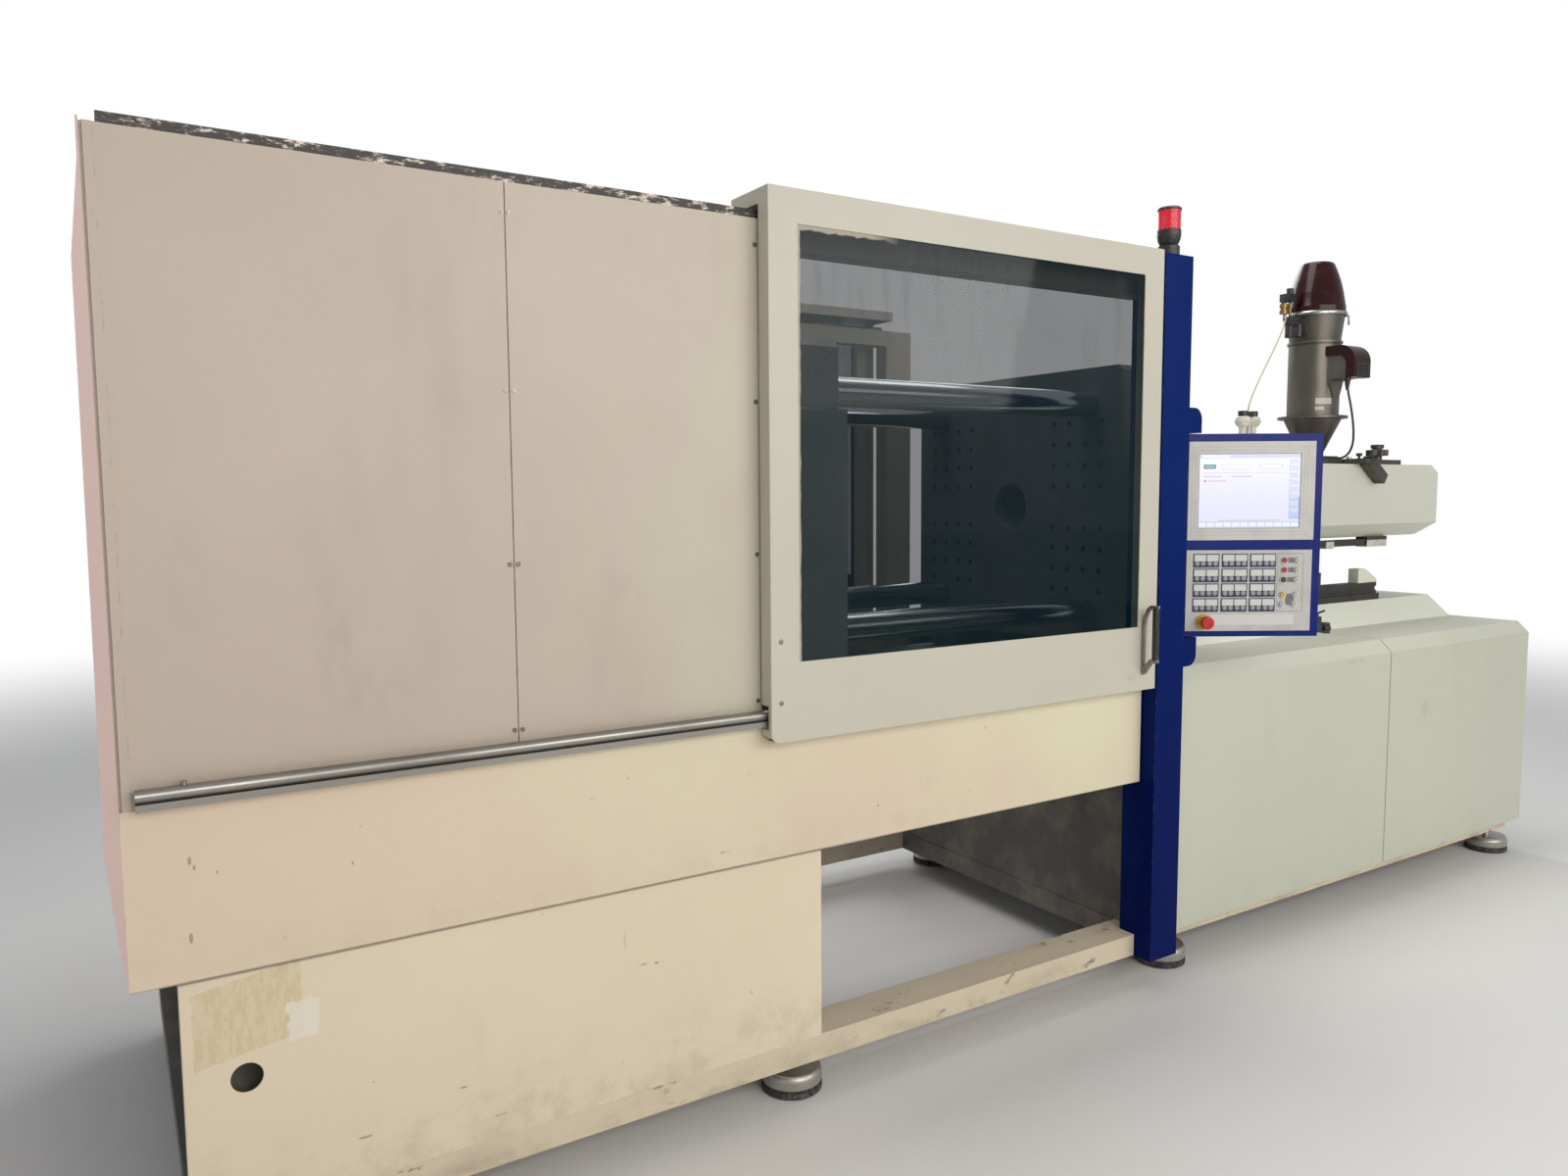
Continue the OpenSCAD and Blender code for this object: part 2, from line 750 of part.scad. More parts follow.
module cabinet_profile(t, y_in) {
    c = cabinet_chamfer;
    y1 = y_in - cabinet_recess;
    polygon([[0, cabinet_z], [0, cabinet_h - c], [c, cabinet_h], [y1, cabinet_h], [y1, cabinet_h - 20],
             [y1 - t, cabinet_h - 20], [y1 - t, cabinet_h - t], [c + t * 0.4, cabinet_h - t],
             [t, cabinet_h - c - t * 0.4], [t, cabinet_z + t], [30, cabinet_z + t], [30, cabinet_z]]);
}

module cabinet_panels() {
    t = sheet_t;
    color("beige") place() {
        both_sides() translate([0, cabinet_recess, 0]) {
            along_x(column_end, riser_x) cabinet_profile(t, way_y - 5);
            along_x(riser_x - eps, cabinet_seam - seam_gap / 2) cabinet_profile(t, riser_y + 20);
            along_x(cabinet_seam + seam_gap / 2, machine_len - t + eps) cabinet_profile(t, riser_y + 20);
        }
        // end panel
        along_x(machine_len - t, machine_len) {
            w = body_w - 2 * cabinet_recess;
            c = cabinet_chamfer;
            translate([cabinet_recess, 0])
                polygon([[0, cabinet_z], [w, cabinet_z], [w, cabinet_h - c], [w - c, cabinet_h],
                         [c, cabinet_h], [0, cabinet_h - c]]);
        }
    }
}

// Raised cover with sloping sides and end, and the two end blocks on the rails
module riser_cover() {
    color("beige") place() {
        difference() {
            riser_form(0);
            riser_form(3);
            // slots for the guide rails
            for (y = guide_y) box([rail_x0 - 3, y - 38, riser_top - 10], [rail_x1 + 3, y + 38, riser_top + 1]);
        }
        for (y = guide_y) translate([rail_x1 - 150, 0, 0]) along_y(y - 22, y + 22)
            polygon([[10, guide_top], [150, guide_top], [150, guide_top + 14], [62, guide_top + 60],
                     [10, guide_top + 60]]);
    }
}

module riser_form(t) {
    low = cabinet_h - (t > 0 ? 1 : 0);
    intersection() {
        along_x(riser_x + t, machine_len)
            polygon([[riser_y + t, low], [riser_top_y + t, riser_top - t],
                     [body_w - riser_top_y - t, riser_top - t], [body_w - riser_y - t, low]]);
        along_y(riser_y - 10, body_w - riser_y + 10)
            polygon([[riser_x - 2, cabinet_h - 2], [riser_x - 2, riser_top + 1],
                     [machine_len - 85 - t, riser_top + 1], [machine_len - 15 - t, cabinet_h - 2]]);
    }
}

module carriage_rails() {
    color("dimgray") place() for (y = guide_y) {
        box([rail_x0, y - 35, riser_top - 3], [rail_x1, y + 35, riser_top + guide_base_h]);
        along_x(rail_x0, rail_x1) {
            translate([y - 22, riser_top + guide_base_h - eps]) square([44, 12]);
            translate([y - 16, riser_top + guide_base_h]) square([32, guide_h - guide_base_h]);
            translate([y - 22, guide_top - 18]) square([44, 18]);
        }
    }
}

// Clamping unit

tie_y = [mid_y - tie_pitch_y / 2, mid_y + tie_pitch_y / 2];
tie_z = [axis_z - tie_pitch_z / 2, axis_z + tie_pitch_z / 2];

// Cast platen with chamfered edges, from its mould face to the right
module platen(x0, x1) {
    c = 18;
    translate([0, platen_y, platen_z]) along_x(x0, x1)
        polygon([[c, 0], [platen_w - c, 0], [platen_w, c], [platen_w, platen_h - c],
                 [platen_w - c, platen_h], [c, platen_h], [0, platen_h - c], [0, c]]);
}

module tie_holes(x0, x1, d) {
    for (y = tie_y, z = tie_z) rod_x(x0, x1, d, y, z);
}

// Mould fixing holes: a grid that leaves the tie bars and the centre free
module mould_holes(x0, x1) {
    for (c = [-6:6], r = [-5:5]) {
        y = c * hole_pitch;
        z = r * hole_pitch;
        to_tie = norm([abs(y) - tie_pitch_y / 2, abs(z) - tie_pitch_z / 2]);
        if (abs(c) >= 3 && r != 0 && abs(r) <= 4 && to_tie > tie_d / 2 + hole_d + 14)
            rod_x(x0, x1, hole_d, mid_y + y, axis_z + z);
    }
}

// Feet that carry a platen on the two guideways
module platen_feet(x0, x1, gap) {
    both_sides() box([x0, way_y, way_z + gap], [x1, way_y + way_w, platen_z + 1]);
}

module fixed_platen() {
    x1 = fixed_x + platen_t;
    color("slategray") place() difference() {
        union() {
            platen(fixed_x, x1);
            platen_feet(fixed_x, x1, 0);
        }
        tie_holes(fixed_x - 1, x1 + 1, tie_d);
        mould_holes(fixed_x - 1, fixed_x + hole_len);
        rod_x(fixed_x - 1, fixed_x + locate_len, locate_d, mid_y, axis_z);
        rod_x(fixed_x, x1 - 60, locate_d - 10, mid_y, axis_z);
        // threaded holes on top, for a take-out unit
        for (x = [60, 190], y = [-160, 160])
            translate([fixed_x + x, mid_y + y, platen_z + platen_h - 35]) cylinder(d = 18, h = 36);
        translate([x1 - 60, mid_y, axis_z]) rotate([0, 90, 0])
            cylinder(d1 = locate_d - 10, d2 = locate_d + 110, h = 61);
    }
}

module tie_bars() {
    color("silver") place() for (y = tie_y, z = tie_z) {
        rod_x(tie_start, tie_end, tie_d, y, z);
    }
}

module tie_bar_nuts() {
    color("dimgray") place() for (y = tie_y, z = tie_z, x = [cylinder_back - nut_l, fixed_x + platen_t])
        difference() {
            rod_x(x, x + nut_l, nut_d, y, z);
            rod_x(x - 1, x + nut_l + 1, tie_d, y, z);
        }
}

module clamp_cylinder() {
    color("slategray") place() difference() {
        union() {
            platen(cylinder_back, cylinder_face);
            platen_feet(cylinder_back, cylinder_face, 0);
            rod_x(cylinder_end, cylinder_back + 1, ram_d + 140, mid_y, axis_z);
            rod_x(cylinder_back - 40, cylinder_back + 1, ram_d + 220, mid_y, axis_z);
            rod_x(cylinder_face - 1, cylinder_face + 20, ram_d + 120, mid_y, axis_z);
        }
        tie_holes(cylinder_back - 1, cylinder_face + 1, tie_d);
        rod_x(cylinder_end + 40, cylinder_face + 21, ram_d + 2 * run_gap, mid_y, axis_z);
    }
}

ram_tail = cylinder_face - clamp_stroke - 60;

module clamp_ram() {
    color("silver") place()
        rod_x(ram_tail, ram_front, ram_d, mid_y, axis_z);
}

rod_spots = [[0, 0], [-105, 0], [105, 0], [0, -105], [0, 105]];

// Moving platen with its spacer posts and the plate that the ram is bolted to
module moving_platen() {
    color("slategray") place() difference() {
        union() {
            platen(moving_back, moving_face);
            platen_feet(moving_back, moving_face, slide_gap);
            for (y = [-190, 190], z = [-190, 190])
                rod_x(ram_front + flange_t - 1, moving_back + 1, 80, mid_y + y, axis_z + z);
            rod_x(ram_front, ram_front + flange_t, 660, mid_y, axis_z);
        }
        tie_holes(moving_back - 1, moving_face + 1, tie_d + 2 * run_gap);
        mould_holes(moving_face - hole_len, moving_face + 1);
        for (p = rod_spots) rod_x(moving_back - 1, moving_face + 1, rod_d + 2 * run_gap, mid_y + p[0], axis_z + p[1]);
        rod_x(moving_face - locate_len, moving_face + 1, locate_d, mid_y, axis_z);
    }
}

module mould_shields() {
    color("cornsilk") place() both_sides()
        box([moving_back - 130, platen_y - 5, platen_z + 40],
            [moving_face + 26, platen_y, axis_z + 276]);
}

module ejector_plate() {
    x0 = ram_front + flange_t + 10;
    color("darkgray") place() union() {
        box([x0, mid_y - 150, axis_z - 150], [x0 + 35, mid_y + 150, axis_z + 150]);
        for (p = rod_spots) rod_x(x0 + 34, moving_face - locate_len - 2, rod_d, mid_y + p[0], axis_z + p[1]);
    }
}

// Injection unit

module injection_housing() {
    color("beige") place() difference() {
        housing_form(0);
        housing_form(sheet_t);
        // throat of the hopper, and the opening round the barrel
        translate([hopper_x, mid_y, housing_top - 10]) cylinder(d = 70, h = 20);
        rod_x(housing_x - 1, housing_x + 10, barrel_d + 50, mid_y, axis_z);
        box([housing_x - 1, mid_y - 195, housing_z - 1], [housing_x + 10, mid_y + 195, housing_z + 66]);
    }
}

module housing_form(t) {
    z0 = housing_z - (t > 0 ? 1 : 0);
    c = 55;
    intersection() {
        along_x(housing_x + t, housing_end)
            polygon([[housing_y + 60 + t, z0], [housing_y + t, housing_z + c], [housing_y + t, housing_top - t],
                     [body_w - housing_y - t, housing_top - t], [body_w - housing_y - t, housing_z + c],
                     [body_w - housing_y - 60 - t, z0]]);
        along_y(housing_y - 1, body_w - housing_y + 1)
            polygon([[housing_x, z0], [housing_end - 63 - t, z0], [housing_end - t, housing_z + 51],
                     [housing_end - t, housing_top - 35], [housing_end - 55 - t, housing_top - t],
                     [housing_x, housing_top - t]]);
    }
}

// Carriage: two saddles on the guide rails, tied by the beams that carry the housing
module carriage_frame() {
    z0 = guide_top + slide_gap;
    beam_z = housing_z + 10;
    color("dimgray") place() difference() {
        union() {
            for (x = saddle_x) {
                box([x, guide_y[0] - 50, guide_top - 14], [x + saddle_l, guide_y[1] + 50, z0 + 60]);
                box([x + 20, mid_y - 130, z0 + 59], [x + 150, mid_y + 130, axis_z - barrel_d / 2 + 20]);
            }
            for (y = [mid_y - 150, mid_y + 110])
                box([saddle_x[0] + saddle_l - 1, y, z0], [saddle_x[1] + 1, y + 40, z0 + 60]);
            // beams inside the housing that carry the screw drive
            for (y = [mid_y - 190, mid_y + 150])
                box([saddle_x[1] + 20, y, beam_z], [housing_end - 90, y + 40, beam_z + 50]);
            box([saddle_x[1] + 20, mid_y - 190, z0 + 59], [saddle_x[1] + 150, mid_y + 190, beam_z + 50]);
            // guide bars under the housing
            for (y = guide_y)
                box([saddle_x[1] + 20, y - 20, housing_z - 37], [hopper_x + 168, y + 20, housing_z - 11]);
            for (y = guide_y, x = [saddle_x[1] + 20, hopper_x + 17])
                box([x, y - 25, housing_z - 37], [x + 151, y + 25, housing_z]);
            box([saddle_x[1] + 20, guide_y[0] - 20, z0 + 59], [saddle_x[1] + 150, guide_y[1] + 20, housing_z - 11]);
        }
        rod_x(rail_x0, housing_end, barrel_d, mid_y, axis_z);
        // grooves for the guide rails, and room above the raised cover
        for (y = guide_y)
            box([rail_x0, y - 22 - slide_gap, guide_top - 30], [rail_x1 + 200, y + 22 + slide_gap, z0]);
        box([rail_x0, guide_y[0] + 22, guide_top - 30], [rail_x1 + 200, guide_y[1] - 22, z0]);
    }
}

module barrel() {
    color("silver") place() difference() {
        union() {
            rod_x(barrel_x, feed_x, barrel_d, mid_y, axis_z);
            box([feed_x, mid_y - 95, axis_z - 95], [feed_end, mid_y + 95, housing_top - sheet_t - 0.3]);
        }
        rod_x(barrel_x - 1, feed_end + 1, screw_d + 2 * run_gap, mid_y, axis_z);
        translate([hopper_x, mid_y, axis_z]) cylinder(d = 60, h = 200);
    }
}

module nozzle() {
    color("gray") place() difference() {
        translate([nozzle_tip, mid_y, axis_z]) rotate([0, 90, 0]) {
            cylinder(d1 = 24, d2 = 50, h = 30);
            translate([0, 0, 30]) cylinder(d = 50, h = 50);
            translate([0, 0, 79]) cylinder(d1 = 50, d2 = 110, h = barrel_x - nozzle_tip - 79);
        }
        rod_x(nozzle_tip - 1, barrel_x + 1, 6, mid_y, axis_z);
    }
}

module heater_bands() {
    band_l = 150;
    band_step = band_l + 20;
    r = barrel_d / 2;
    color("silver") place() for (zone = [barrel_x + 90, saddle_x[0] + saddle_l], i = [0, 1]) {
        x = zone + i * band_step;
        difference() {
            union() {
                rod_x(x, x + band_l, barrel_d + 12, mid_y, axis_z);
                box([x + 20, mid_y - 14, axis_z + r], [x + 60, mid_y + 14, axis_z + r + 22]);
            }
            rod_x(x - 1, x + band_l + 1, barrel_d, mid_y, axis_z);
        }
    }
}

module screw() {
    color("lightgray") place() {
        rod_x(screw_tip + 40, feed_end - 60, screw_d * 0.7, mid_y, axis_z);
        translate([screw_tip, mid_y, axis_z]) rotate([0, 90, 0]) cylinder(d1 = 6, d2 = screw_d * 0.7, h = 41);
        rod_x(feed_end - 61, drive_x + 60, screw_d, mid_y, axis_z);
        for (x = [screw_tip + 60 : 60 : feed_end - 70]) rod_x(x, x + 10, screw_d, mid_y, axis_z);
    }
}

module screw_drive() {
    color("steelblue") place() difference() {
        union() {
            box([drive_x, mid_y - 190, housing_z + 60 + slide_gap], [drive_x + 60, mid_y + 190, axis_z + 110]);
            rod_x(drive_x + 59, drive_x + drive_l, 180, mid_y, axis_z);
        }
        rod_x(drive_x - 1, drive_x + 62, screw_d + 2 * run_gap, mid_y, axis_z);
    }
}

// Hopper loader

chute_x = hopper_x - 120;
plate_x = [hopper_x - 299, hopper_x + 273];
lead_y = mid_y - 105;
gland_x = hopper_x - 214;
gland_z = cone_z + 16.4;

// Square drain chute, sloping down to the right from its ledge
module chute(r, t0, t1) {
    translate([chute_x, housing_y - 26, housing_top + base_plate_t - 8]) rotate([0, 35, 0])
        translate([t0, -r, -r]) cube([t1 - t0, 2 * r, 2 * r]);
}

module hopper_base() {
    z0 = housing_top;
    color("dimgray") place() difference() {
        union() {
            box([plate_x[0], mid_y - 250, z0], [plate_x[1], mid_y + 250, z0 + base_plate_t]);
            // terminal box of the blower's lead, with its gland
            box([gland_x - 75, lead_y - 27, cone_z - eps], [gland_x - 20, lead_y + 27, cone_z + 34]);
            rod_x(gland_x - 21, gland_x, 18, lead_y, gland_z);
            // ledge that leads to the drain chute, in front of the housing
            box([chute_x - 46, housing_y - 50, z0 + 2], [chute_x + 30, mid_y - 249, z0 + base_plate_t]);
            chute(22, 0, 135);
            // clamping knob with its counter disc, and the locking pin
            translate([hopper_x + 163, mid_y - 205, cone_z - eps]) {
                cylinder(r = 20, h = 66);
                translate([0, 0, 50]) cylinder(r = 26, h = 16);
                // six lobes round the grip
                translate([0, 0, 18]) linear_extrude(26)
                    polygon([for (a = [0:7.5:359]) (38.5 + 5.5 * cos(6 * a)) * [cos(a), sin(a)]]);
            }
            translate([hopper_x + 23, mid_y - 208, cone_z - eps]) {
                cylinder(r = 9, h = 6);
                cylinder(r = 5, h = 20);
                translate([0, 0, 15]) cylinder(r = 12, h = 13);
            }
        }
        translate([hopper_x, mid_y, z0 - 1]) cylinder(d = 70, h = 40);
        // slot of the gate
        box([hopper_x - 60, mid_y - 50, z0 + 9], [plate_x[1] + 8, mid_y + 50, z0 + 9 + gate_t + slide_gap]);
        chute(18, -40, 136);
    }
}

module hopper_gate() {
    z0 = housing_top + 9 + slide_gap / 2;
    pull_x = plate_x[1] + 19;
    color("silver") place() {
        difference() {
            box([hopper_x - 55, mid_y - 49.7, z0], [pull_x + 8, mid_y + 49.7, z0 + gate_t]);
            translate([hopper_x, mid_y, z0 - 1]) cylinder(d = 70, h = 20);
        }
        translate([pull_x, mid_y, z0 + gate_t - eps]) cylinder(d = 8, h = 16);
        translate([pull_x, mid_y, z0 + gate_t + 15]) cylinder(d = 24, h = 14);
    }
}

module hopper_body() {
    w = 2;
    r = hopper_d / 2;
    rim = lid_d / 2;
    hinge_y = mid_y + rim + 12;
    color("darkgray") place() {
        translate([hopper_x, mid_y, 0]) rotate_extrude($fn = 96)
            // foot plate, cone, flange, body, neck and rim as one wall
            polygon([[35, cone_z], [75, cone_z], [75, cone_z + 8], [44, cone_z + 8], [44, cone_z + 25],
                     [flange_d / 2 - 24, flange_z], [flange_d / 2, flange_z], [flange_d / 2, flange_z + 10],
                     [r, flange_z + 10], [r, ring_z - 8], [r + 6, ring_z - 6], [r + 6, ring_z + 4],
                     [neck_r[0], ring_z + 6], [neck_r[1], neck_top], [rim + 3, neck_top],
                     [rim + 3, lid_z - 4], [rim - 3, lid_z], [neck_r[1] - w, lid_z],
                     [neck_r[0] - w, ring_z + 6], [r - w, ring_z], [r - w, flange_z + 5],
                     [flange_d / 2 - 28, flange_z + 2], [35, cone_z + 26]]);
        // return duct at the front: gasket frame, the duct inside the blower arm, tapered foot
        translate([hopper_x, mid_y, 0]) difference() {
            union() {
                box([-50, -r - 6, arm_z - 5], [50, -r + 25, arm_z + 105]);
                along_x(-49, 49) mirror([1, 0]) arm_inside(1);
                along_y(-r - 3, -r + 25)
                    polygon([[-50, arm_z - 4], [-20, arm_z - 80], [20, arm_z - 80], [50, arm_z - 4]]);
            }
            translate([0, 0, flange_z]) cylinder(r = r - w / 2, h = ring_z - flange_z, $fn = 96);
        }
        // hinge of the lid
        for (x = [hopper_x - 30, hopper_x + 12]) {
            box([x, mid_y + rim - 6, lid_z - 18], [x + 18, hinge_y + 8, lid_z - 8]);
            box([x, hinge_y - 8, lid_z - 9], [x + 18, hinge_y + 8, lid_z + 4]);
            rod_x(x, x + 18, 16, hinge_y, lid_z + 4);
        }
        rod_x(hopper_x - 13, hopper_x + 13, 8, hinge_y, lid_z + 4);
    }
}

// Blower arm, seen from the left: distance from the hopper's axis, and height
arm_z = ring_z - 165;
arm_bend = hopper_d / 2 + 44;

module arm_inside(gap) {
    translate([hopper_d / 2 - 20, arm_z]) square([55, 100 - gap]);
    translate([arm_bend - 11, arm_z + 56]) circle(44 - gap);
    translate([arm_bend - 20, arm_z]) square([53 - gap, 57]);
}

module hopper_lid() {
    r = lid_d / 2;
    top = lid_top - lid_z;
    // outer and inner outline, as shares of the radius and heights above the rim
    outer = [[1, 0], [1, 18], [0.975, 32], [0.945, 52], [0.908, 79], [0.86, 105], [0.807, 130],
             [0.735, 157], [0.65, 184], [0.59, 201], [0.55, top - 4], [0.5, top], [0, top]];
    inner = [[0, top - 5], [0.47, top - 5], [0.53, 198], [0.60, 182], [0.70, 155], [0.78, 127],
             [0.85, 91], [0.91, 52]];
    color("maroon") place() translate([hopper_x, mid_y, lid_z]) {
        rotate_extrude($fn = 96)
            polygon(concat([[r - 3, 0]], [for (p = outer) [p[0] * r, p[1]]],
                           [for (p = inner) [p[0] * r, p[1]]], [[r - 3, 18]]));
        difference() {
            union() {
                box([-11.5, r - 2, 0], [11.5, r + 12, 8]);
                rod_x(-11.5, 11.5, 16, r + 12, 4);
            }
            rod_x(-12, 12, 8 + 2 * run_gap, r + 12, 4);
        }
    }
}

module blower_arm() {
    color("maroon") place() translate([hopper_x, mid_y, 0]) difference() {
        along_x(-59, 59) mirror([1, 0]) difference() {
            union() {
                translate([hopper_d / 2 - 20, arm_z]) square([65, 140]);
                translate([arm_bend, arm_z + 68]) circle(72);
                translate([arm_bend - 1, arm_z]) square([73, 69]);
            }
            arm_inside(0);
            translate([0, arm_z - 90]) square([arm_bend + 90, 90]);
        }
        // seat on the hopper and on the gasket frame
        translate([0, 0, arm_z - 1]) cylinder(r = hopper_d / 2, h = 200);
        box([-50, -hopper_d / 2 - 6, arm_z - 1], [50, 0, arm_z + 105]);
    }
}

module valve_block() {
    g = run_gap;
    color("dimgray") place() translate([hopper_x, mid_y, ring_z]) {
        // lower valve with its bracket on the neck
        difference() {
            union() {
                box([-152, -12, 73], [-110, 52, 107]);
                box([-120, -34, 24], [-104, 6, 107]);
                box([-146, -12, 24], [-112, 46, 74]);
                for (p = [[-136, 34], [-124, 2]]) translate([p[0], p[1], 22]) cylinder(d = 38, h = 52);
            }
            translate([0, 0, 6]) cylinder(r1 = neck_r[0] + g, r2 = neck_r[1] + g, h = neck_top - ring_z - 6);
        }
        // pipe, brass body, upper valve and its knob
        translate([-146, 28, 106]) cylinder(d = 12, h = 68);
        translate([-168, 44, 122]) cylinder(d = 34, h = 16);
        translate([-168, 44, 137]) cylinder(d = 26, h = 12);
        translate([-168, 44, 148]) cylinder(d = 34, h = 16);
        box([-168, 26, 124], [-144, 44, 162]);
        translate([-168, 44, 163]) cylinder(d = 22, h = 11);
        box([-178, 14, 173], [-138, 58, 206]);
        translate([-152, 26, 205]) cylinder(d = 30, h = 24);
    }
}

filter_pos = [hopper_x - 455, mid_y];

module air_filter() {
    color("ivory") place() translate([filter_pos[0], filter_pos[1], housing_top]) {
        box([-20, -20, 0], [20, 20, 4]);
        box([-5, -9, 3], [5, 9, 222]);
        box([-44, -14, 206], [44, 14, 222]);
        for (x = [-33, 33]) translate([x, 0, 0]) {
            translate([0, 0, 118]) cylinder(d = 30, h = 46);
            translate([0, 0, 160]) rotate_extrude()
                polygon([[0, 0], [18, 0], [29, 10], [33, 24], [29, 38], [20, 44], [0, 44]]);
            translate([0, 0, 203]) cylinder(d = 40, h = 23);
        }
    }
}

// Sweeps a round tube along a list of points
function unit(v) = v / norm(v);
function tangent(p, i) = unit(p[min(i + 1, len(p) - 1)] - p[max(i - 1, 0)]);
function side(t) = unit(cross(t, abs(t[2]) < 0.9 ? [0, 0, 1] : [1, 0, 0]));
function ring(p, i, r, n) =
    let (t = tangent(p, i), a = side(t), b = cross(t, a))
    [for (k = [0:n - 1]) p[i] + r * (cos(360 * k / n) * a + sin(360 * k / n) * b)];

module tube(p, r, n) {
    rings = [for (i = [0:len(p) - 1]) each ring(p, i, r, n)];
    last = (len(p) - 1) * n;
    faces = concat(
        [[for (k = [0:n - 1]) k]],
        [for (i = [0:len(p) - 2], k = [0:n - 1])
            [i * n + k, (i + 1) * n + k, (i + 1) * n + (k + 1) % n, i * n + (k + 1) % n]],
        [[for (k = [n - 1:-1:0]) last + k]]);
    polyhedron(points = rings, faces = faces, convexity = 10);
}

// Point at t on a curve from a to b that leaves and arrives straight downwards
function drop(a, b, pull, t) =
    let (u = 1 - t)
    u * u * u * a + 3 * u * u * t * (a - [0, 0, pull]) + 3 * u * t * t * (b + [0, 0, pull]) + t * t * t * b;

tube_start = [hopper_x - 160, mid_y + 35, ring_z + 122];
tube_end = [filter_pos[0], filter_pos[1], housing_top + 222];

module air_tube() {
    n = 16;
    color("khaki") place() tube([for (i = [0:n]) drop(tube_start, tube_end, 90, i / n)], 3, 8);
}

// The blower's lead hangs down to the base plate, lies there in one loop and ends in its gland
lead_r = 4.5;
loop_r = 50;

module blower_cable() {
    x0 = hopper_x - 45;
    y0 = mid_y - hopper_d / 2 - 78.5;
    z0 = cone_z + lead_r + 0.1;
    drop_z = z0 - arm_z;
    fall = [[0, 0, 0], [0, 0, -30], [0, -7, -70], [0, -16, -108], [1, -24, -150], [2, -30, -191],
            [4, -33, -239], [7, -29, -281], [9, -15, drop_z + 28], [6, 6, drop_z + 8],
            [-6, 28, drop_z + 1.5], [-30, 46, drop_z]];
    // on the plate it runs to the loop, and from the top of the loop straight into the gland
    loop_x = gland_x + 67;
    lay = [[loop_x + 50, lead_y - 12, z0], [loop_x + 27, lead_y - 2, z0], [loop_x, lead_y, z0]];
    turn = [for (i = [1:13]) let (a = 90 + i * 360 / 13)
        [loop_x + loop_r * cos(a), lead_y - loop_r + loop_r * sin(a), z0 + (gland_z - z0) * pow(i / 13, 2)]];
    pts = concat([for (p = fall) [x0, y0, arm_z] + p], lay, turn, [[gland_x, lead_y, gland_z]]);
    color("black") place() tube(pts, lead_r, 8);
}

bed_frame();
foot_mounts();
foot_pads();
base_panels();
aprons();
guard_panels();
guard_frame();
end_cover();
guard_roof();
top_rails();
bottom_rails();
panel_screws();
operator_door();
operator_window();
operator_handle();
operator_grip();
operator_guides();
rear_door();
rear_window();
rear_handle();
rear_guides();
control_column();
lamp_housing();
lamp_lens();
swivel_bracket();
panel_case();
display_bezel();
display_screen();
keypad_plate();
keypad_keys();
estop_collar();
estop_button();
panel_clamp();
cabinet_panels();
riser_cover();
carriage_rails();
fixed_platen();
tie_bars();
tie_bar_nuts();
clamp_cylinder();
clamp_ram();
moving_platen();
mould_shields();
ejector_plate();
injection_housing();
carriage_frame();
barrel();
nozzle();
heater_bands();
screw();
screw_drive();
hopper_base();
hopper_gate();
hopper_body();
hopper_lid();
blower_arm();
valve_block();
air_filter();
air_tube();
blower_cable();
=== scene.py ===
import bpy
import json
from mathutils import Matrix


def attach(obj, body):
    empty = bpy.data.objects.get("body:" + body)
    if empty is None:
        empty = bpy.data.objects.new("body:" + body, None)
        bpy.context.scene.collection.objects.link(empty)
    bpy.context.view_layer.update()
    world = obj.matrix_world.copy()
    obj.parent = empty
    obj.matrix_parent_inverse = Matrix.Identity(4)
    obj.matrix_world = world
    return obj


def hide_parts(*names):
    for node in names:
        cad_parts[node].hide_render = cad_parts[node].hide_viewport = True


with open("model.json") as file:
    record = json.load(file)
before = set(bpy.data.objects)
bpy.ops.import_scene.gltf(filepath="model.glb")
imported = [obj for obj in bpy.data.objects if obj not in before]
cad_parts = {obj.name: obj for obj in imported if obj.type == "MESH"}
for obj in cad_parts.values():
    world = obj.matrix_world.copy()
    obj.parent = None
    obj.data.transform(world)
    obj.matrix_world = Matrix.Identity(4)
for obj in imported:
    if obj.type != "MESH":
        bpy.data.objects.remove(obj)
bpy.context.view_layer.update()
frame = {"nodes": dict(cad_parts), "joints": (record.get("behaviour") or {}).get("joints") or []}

import json
import math

import bmesh
import bpy
from mathutils import Matrix, Vector

# Camera, floor and studio light. The camera stands where the photograph was taken from, at
# eye height in front of the machine's left end and turned to the right. Places on the
# machine are given in millimetres from its left end, its apron face and the floor.
LEFT_TO_MIDDLE, APRON_TO_MIDDLE = 2586, 606


def at(x, y, z):
    """Millimetres from the left end, the apron face and the floor, to the frame in metres."""
    return Vector(((x - LEFT_TO_MIDDLE) / 1000, (y - APRON_TO_MIDDLE) / 1000, z / 1000))


cam_data = bpy.data.cameras.new("camera")
cam_data.sensor_width = 36
cam_data.lens = 25.274
cam_data.clip_end = 60
camera = bpy.data.objects.new("camera", cam_data)
bpy.context.scene.collection.objects.link(camera)
yaw, pitch, roll = math.radians(31.91955), math.radians(-4.96670), math.radians(-0.35155)
forward = Vector((math.sin(yaw) * math.cos(pitch), math.cos(yaw) * math.cos(pitch), math.sin(pitch)))
level = Vector((math.cos(yaw), -math.sin(yaw), 0))
upright = level.cross(forward)
right = level * math.cos(roll) + upright * math.sin(roll)
up = upright * math.cos(roll) - level * math.sin(roll)
turn = Matrix((right, up, -forward)).transposed().to_4x4()
eye = at(19, -2256.8, 1557.3)
camera.matrix_world = Matrix.Translation(eye) @ turn
bpy.context.scene.camera = camera
bpy.context.scene.view_settings.view_transform = "Standard"


